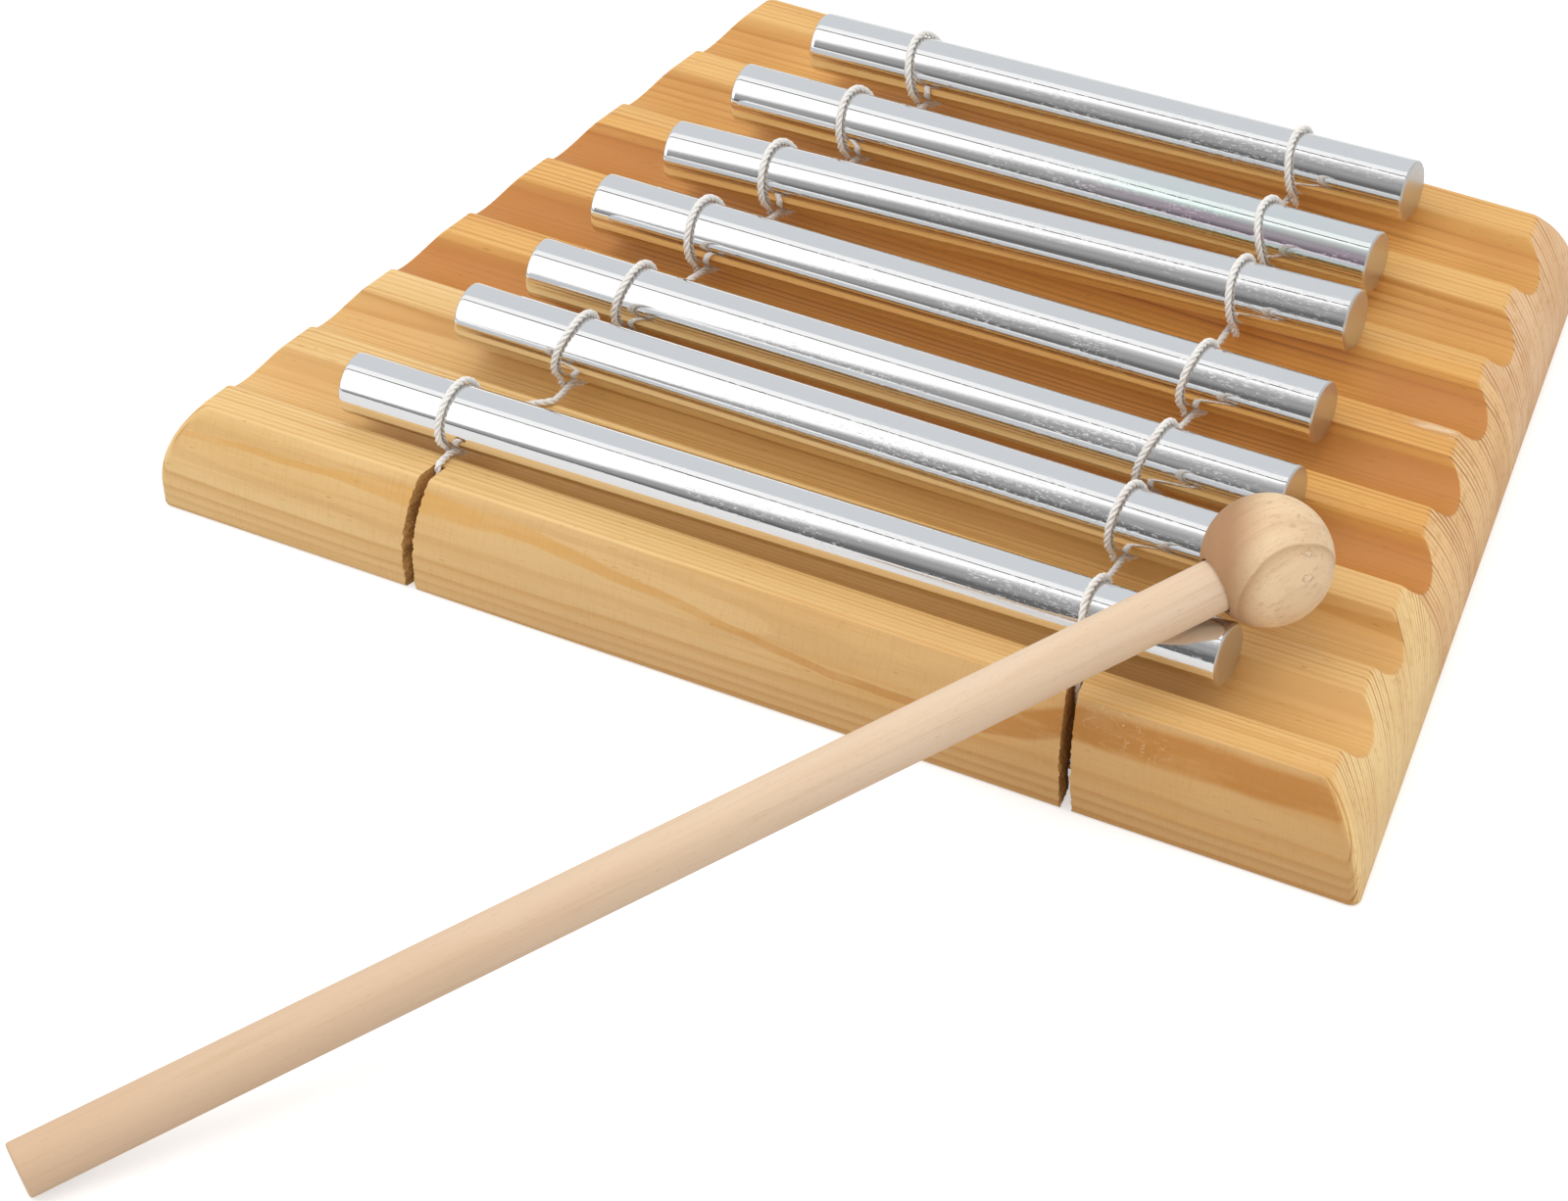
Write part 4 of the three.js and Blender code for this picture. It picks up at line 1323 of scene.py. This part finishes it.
# Raw sanded wood of the mallet: pale and even with thin brown streaks; the ball shows curved ring lines.
def paleWood(name, look, seed):
    material, add = newMaterial(name)
    turned = ownPoint(add)
    _, y, z = add("SeparateXYZ", turned)
    distance = fromPith(add, y, z, look["pith"])
    waves = swinging(add, turned, look["waves"], 2.0, 0.5, seed)
    bent = add("Math", waves, look["bend"], distance, operation="MULTIPLY_ADD")
    if look["lines"]:
        # single ring lines at known places, each sharp on one side and fading on the other
        first, last = look["lines"][0][0] - 2, look["lines"][-1][0] + 8
        stops = [(0.0, 0.0)]
        for place, strength, fade in look["lines"]:
            for offset, share in ((-0.3, 0.1), (0.0, 1.0), (fade, 0.4), (2 * fade, 0.1)):
                stops.append(((place + offset - first) / (last - first), strength * share))
        line = add("ValToRGB", add("MapRange", bent, first, last), stops=stops)["Color"]
    else:
        rings = add("Math", bent, look["ring"], operation="DIVIDE")
        each = add("TexWhiteNoise", add("Math", rings, operation="FLOOR"), noise_dimensions="1D")["Value"]
        line = add(
            "ValToRGB",
            add("Math", rings, operation="FRACT"),
            stops=[(0.0, 0.15), (0.6, 0.3), (0.9, 1.0), (0.96, 0.7), (1.0, 0.15)],
        )["Color"]
        line = whereAll(add, line, add("MapRange", each, 0.2, 1.0, 0.15, 1.0))
    fibre = grain(add, turned, (14, 0.12, 0.12), 3.0, 0.65, seed + 2.0)
    streak = grain(add, turned, (60, 0.9, 0.9), 2.0, 0.6, seed + 6.0)
    cloud = grain(add, turned, (45, 7, 7), 2.0, 0.5, seed + 8.0)
    colour = add(
        "Mix",
        add("Math", line, look["contrast"], operation="MULTIPLY"),
        linear(look["pale"]),
        linear(look["dark"]),
        data_type="RGBA",
    )
    colour = tinted(add, colour, look["dark"], add("MapRange", streak, 0.52, 0.74, 0.0, 0.35, **soft))
    colour = tinted(add, colour, look["warm"], add("MapRange", cloud, 0.4, 0.75, 0.0, 0.45, **soft))
    light = add("MapRange", fibre, 0.25, 0.75, 0.95, 1.04)
    colour = add("Mix", 1.0, colour, light, data_type="RGBA", blend_type="MULTIPLY")
    fleck = add("MapRange", grain(add, turned, (1.6, 0.14, 0.14), 0.0, 0.5, seed + 1.0), 0.74, 0.8, **soft)
    colour = tinted(add, colour, look["deep"], fleck, 0.3)
    relief = add(
        "Math", fibre, 0.7, add("Math", line, -0.2, operation="MULTIPLY"), operation="MULTIPLY_ADD"
    )
    if look["darkSide"]:
        # painted shade: one side of the ball is browner, away from the light; the grip end of the dowel is
        # browner too
        axis, low, high = look["darkSide"]
        axis = tuple(grainPoints(np.array([axis]), look)[0])
        side = add("VectorMath", turned, axis, operation="DOT_PRODUCT")
        colour = tinted(
            add, colour, look["dark"], add("MapRange", side, low, high, 0.0, look["browner"], **soft)
        )
    for spot, reach in look["scrapes"]:
        # a shallow bruise with a thin dark lip and torn pale fibres
        spot, lengthwise = (tuple(p) for p in grainPoints(np.array([spot, look["scrapeAxis"]]), look))
        ragged = swinging(add, turned, (1.2, 0.5, 0.5), 2.0, 0.6, seed + reach)
        away = add("VectorMath", turned, spot, operation="SUBTRACT")
        along = add("VectorMath", away, lengthwise, operation="DOT_PRODUCT")
        alongSquared = add("Math", along, along, operation="MULTIPLY")
        farSquared = add("VectorMath", away, away, operation="DOT_PRODUCT")
        wide = add(
            "Math",
            add("Math", farSquared, alongSquared, operation="SUBTRACT"),
            7.0,
            alongSquared,
            operation="MULTIPLY_ADD",
        )
        away = add("Math", add("Math", wide, operation="SQRT"), reach, operation="DIVIDE")
        away = add("Math", ragged, 1.6, away, operation="MULTIPLY_ADD")
        lip = whereAll(
            add,
            add("MapRange", away, 0.68, 0.8, **soft),
            add("MapRange", away, 0.84, 1.0, 0.45, 0.0, **soft),
        )
        inside = add("MapRange", away, 0.4, 0.75, 1.0, 0.0, **soft)
        colour = tinted(add, colour, look["deep"], lip)
        colour = tinted(add, colour, "#f2d9b8", inside, 0.35)
        relief = add("Math", inside, -3.0, relief, operation="MULTIPLY_ADD")
    gloss = add("Math", fibre, 0.15, look["rough"], operation="MULTIPLY_ADD")
    bump = add("Bump", {"Strength": 0.45, "Distance": 0.00005, "Height": relief})
    shader = add("BsdfPrincipled", {"Base Color": colour, "Roughness": gloss, "IOR": 1.5, "Normal": bump})
    add("OutputMaterial", shader)
    return material


handleLook = {
    "pale": "#e7cdb0", "dark": "#cfa984", "deep": "#a57f5a", "warm": "#e0bf9c", "rough": 0.52,
    "grainAxis": (1, 0.012, 0.008), "pith": (9, 60), "waves": (180, 30, 30), "bend": 4.0, "ring": 1.7,
    "lines": (), "contrast": 0.3, "darkSide": ((1, 0, 0), 50.0, 260.0), "browner": 0.6, "scrapes": (),
}
# the ball's darkSide is painted shade on its lower left, away from the light
ballLook = {
    "pale": "#f0d1a8", "dark": "#a97b52", "deep": "#85603c", "warm": "#dab38b", "rough": 0.48,
    "grainAxis": (0.571, 0.74, 0.355), "pith": (38.7, 9.9), "waves": (18, 12, 12), "bend": 1.6,
    "lines": ((36.5, 0.1, 0.9), (42.6, 0.25, 1.0), (46.6, 0.85, 1.0), (51.0, 0.2, 1.2)),
    "contrast": 0.75, "darkSide": ((-0.93, -0.36, 0.0), -1.5, 7.0), "browner": 0.92,
    "scrapes": (((9.29, -2.64, 7.04), 1.8), ((10.35, -4.85, 3.49), 2.1)), "scrapeAxis": (0.85, 0.52, -0.06),
}


# Coordinates with x along a wood's grain axis; y and z lie across it, y as level as can be.
def grainPoints(points, look):
    along = np.array(look["grainAxis"], float)
    along /= np.linalg.norm(along)
    level = np.cross((0, 0, 1), along)
    level /= np.linalg.norm(level)
    return np.stack([points @ along, points @ level, points @ np.cross(along, level)], axis=1)


# The ball, turned about its hole.
def buildBall():
    sides, wallSteps = mallet["ballSides"], 71
    hole = mallet["headDiameter"] / 2 + mallet["toHole"] + 0.1
    bottom = -mallet["pastCentre"] - mallet["toHoleEnd"]
    mouth, rimEase = math.sqrt(ballRadius ** 2 - hole ** 2), 0.28
    profile = [(hole * share, bottom) for share in (0, 0.6, 1)]
    profile += [(hole, along) for along in (bottom + 0.4, mouth * 0.5, mouth - 0.5, mouth - 0.25)]
    opening = math.asin((hole + rimEase) / ballRadius)
    for k in range(wallSteps):
        angle = opening + (math.pi - opening) * k / wallSteps
        profile.append((ballRadius * math.sin(angle), ballRadius * math.cos(angle)))
    profile.append((0, -ballRadius))
    vertices, faces = latheMesh(profile, sides)
    rim = 5 * sides + 1
    for i in range(rim, rim + 3 * sides):
        # the drill left a slightly torn rim
        spot = Vector(vertices[i] / mm)
        vertices[i, 1:] *= 1 + 0.045 * noise.noise(spot * 1.3) + 0.045 * noise.noise(spot * 3.3)
    head = newObject("ball", vertices, faces, paleWood("turned birch", ballLook, 5.0))
    keepSharp(head, 40)
    return head


# The dowel, a little thicker towards its eased grip end.
def buildHandle():
    headRadius, gripRadius = mallet["headDiameter"] / 2, mallet["gripDiameter"] / 2
    reach, start, inHole = mallet["reach"], mallet["ballDiameter"], -mallet["pastCentre"]
    chamfer, ease, easeSteps, bodySteps = 0.3, 0.55, 5, 90
    profile = [(radius, inHole) for radius in (0, headRadius * 0.7, headRadius - chamfer)]
    profile += [(headRadius, inHole + chamfer)] + [(headRadius, 2.0 * k) for k in range(12)]
    for k in range(bodySteps + 1):
        along = start + (reach - 4 * ease - start) * k / bodySteps
        profile.append((headRadius + (gripRadius - headRadius) * (along - start) / (reach - start), along))
    for k in range(easeSteps + 1):
        angle = math.pi / 2 * k / easeSteps
        profile.append((gripRadius - ease + ease * math.cos(angle), reach - ease + ease * math.sin(angle)))
    profile += [(gripRadius * 0.6, reach), (0, reach)]
    vertices, faces = latheMesh(profile[::-1], mallet["handleSides"])
    for i, v in enumerate(vertices):
        # a sawn dowel is never quite round or straight
        along = v[0] / mm
        if 14 < along < reach - 3:
            wave = 0.03 * noise.noise(Vector((along * 0.03, v[1] / mm * 0.12, v[2] / mm * 0.12)))
            vertices[i, 1:] *= 1 - abs(wave) / 5
    handle = newObject("handle", vertices, faces, paleWood("sanded dowel", handleLook, 21.0))
    keepSharp(handle, 50)
    return handle


def buildMallet():
    centre = ballCentre()
    place = Matrix.Translation(centre * mm) @ malletTurn(centre)
    head, handle = buildBall(), buildHandle()
    turnedHead = meshPoints(head) @ np.array(place.to_3x3()).T
    settle(head, place, grainPoints(turnedHead, ballLook))
    settle(handle, place, grainPoints(meshPoints(handle), handleLook))
    for piece, node, slot in (
        (head, "mallet_head", "birch_ball"), (handle, "mallet_handle", "beech_dowel")
    ):
        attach(piece, "mallet")
        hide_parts(node)


buildMallet()
print("mallet built")

# Studio: a white table, a soft key light and panels that the metal mirrors.
studio = {
    "floorSize": 6.0,
    "fill": 0.9,
    "keyPlace": (-0.35, -0.25, 1.5),
    "keyPower": 7.5,
    "keySize": 1.6,
}


def buildFloor():
    half, below = studio["floorSize"] / 2, 0.02 * mm
    material, add = newMaterial("white table")
    path = add("LightPath")
    seen = add("Math", path["Is Camera Ray"], path["Is Transmission Ray"], operation="MAXIMUM")
    seen = add("Math", path["Is Glossy Ray"], 0.2, seen, operation="MULTIPLY_ADD")
    matt = add("BsdfDiffuse", linear("#d8d8d8"))
    glow = add("Emission", (1, 1, 1, 1), add("Math", seen, 0.5, operation="MULTIPLY"))
    add("OutputMaterial", add("AddShader", matt, glow))
    vertices = [(x * half, y * half, -below) for x, y in ((-1, -1), (1, -1), (1, 1), (-1, 1))]
    floor = newObject("table", vertices, [(0, 1, 2, 3)], material, smooth=False)


# The room as the metal sees it, by angle over the rods: the dark front, the white panel with a thin gap, and
# the bluish top.
def buildWorld():
    world = bpy.data.worlds.new("studio")
    bpy.context.scene.world = world
    world.use_nodes = True
    world.node_tree.nodes.clear()
    add = partial(addNode, world.node_tree)
    x, y, z = add("SeparateXYZ", add("TexCoord")["Generated"])
    over = add(
        "Math",
        add("Math", z, add("Math", y, -1.0, operation="MULTIPLY"), operation="ARCTAN2"),
        operation="DEGREES",
    )
    # the white panel's lower edge climbs towards the right
    climb = ((0, 0.05), (0.06, 0.08), (0.27, 0.18), (0.475, 0.42), (0.66, 0.66), (0.9, 0.76), (1, 0.76))
    edge = add("ValToRGB", add("MapRange", x, -0.47, -0.31), stops=climb)["Color"]
    edge = add("Math", edge, 100.0, operation="MULTIPLY")
    share = add("Math", add("Math", over, edge, operation="SUBTRACT"), edge, operation="DIVIDE")
    share = add("MapRange", share, -1.1, 0.1)
    leftStops = ((0, 0.1), (0.167, 0.14), (0.317, 0.3), (0.458, 0.4), (0.6, 0.34), (0.75, 0.42))
    leftStops += ((0.86, 0.6), (0.93, 1.25), (1, 1.25))
    rightStops = ((0, 0.1), (0.167, 0.15), (0.283, 0.14), (0.4, 0.28), (0.5, 0.38), (0.617, 0.36))
    rightStops += ((0.725, 0.48), (0.833, 0.62), (0.89, 0.8), (0.93, 1.15), (1, 1.25))
    left = add("ValToRGB", share, stops=leftStops)["Color"]
    right = add("ValToRGB", share, stops=rightStops)["Color"]
    low = add("Mix", add("MapRange", x, -0.43, -0.36, **soft), left, right, data_type="RGBA")
    panelStops = ((0, 1.2), (0.21, 1.2), (0.225, 0.12), (0.3, 0.16), (0.315, 1.05), (0.74, 1.02))
    panelStops += ((0.8, (0.69, 0.72, 0.76, 1.0)), (1, (0.69, 0.72, 0.75, 1.0)))
    panels = add("ValToRGB", add("MapRange", over, 74, 112), stops=panelStops)["Color"]
    light = add("Mix", add("MapRange", over, 76.9, 77.1), low, panels, data_type="RGBA")
    path = add("LightPath")
    room = add("Background", (1, 1, 1, 1), studio["fill"])
    mirrored = add("Background", light, 1.0)
    white = add("Background", (1, 1, 1, 1), 1.0)
    lit = add("MixShader", path["Is Glossy Ray"], room, mirrored)
    add("OutputWorld", add("MixShader", path["Is Camera Ray"], lit, white))


# A large soft lamp over the front left.
def buildKeyLight():
    data = bpy.data.lights.new("key", "AREA")
    data.shape, data.size, data.energy = "SQUARE", studio["keySize"], studio["keyPower"]
    light = bpy.data.objects.new("key", data)
    bpy.context.scene.collection.objects.link(light)
    light.location = studio["keyPlace"]
    light.rotation_mode = "QUATERNION"
    light.rotation_quaternion = (-Vector(studio["keyPlace"])).to_track_quat("-Z", "Y")
    light.visible_camera = False
    light.visible_glossy = False


def buildStudio():
    buildFloor()
    buildWorld()
    buildKeyLight()
    bpy.context.scene.view_settings.view_transform = "Standard"


buildStudio()
print("studio built")
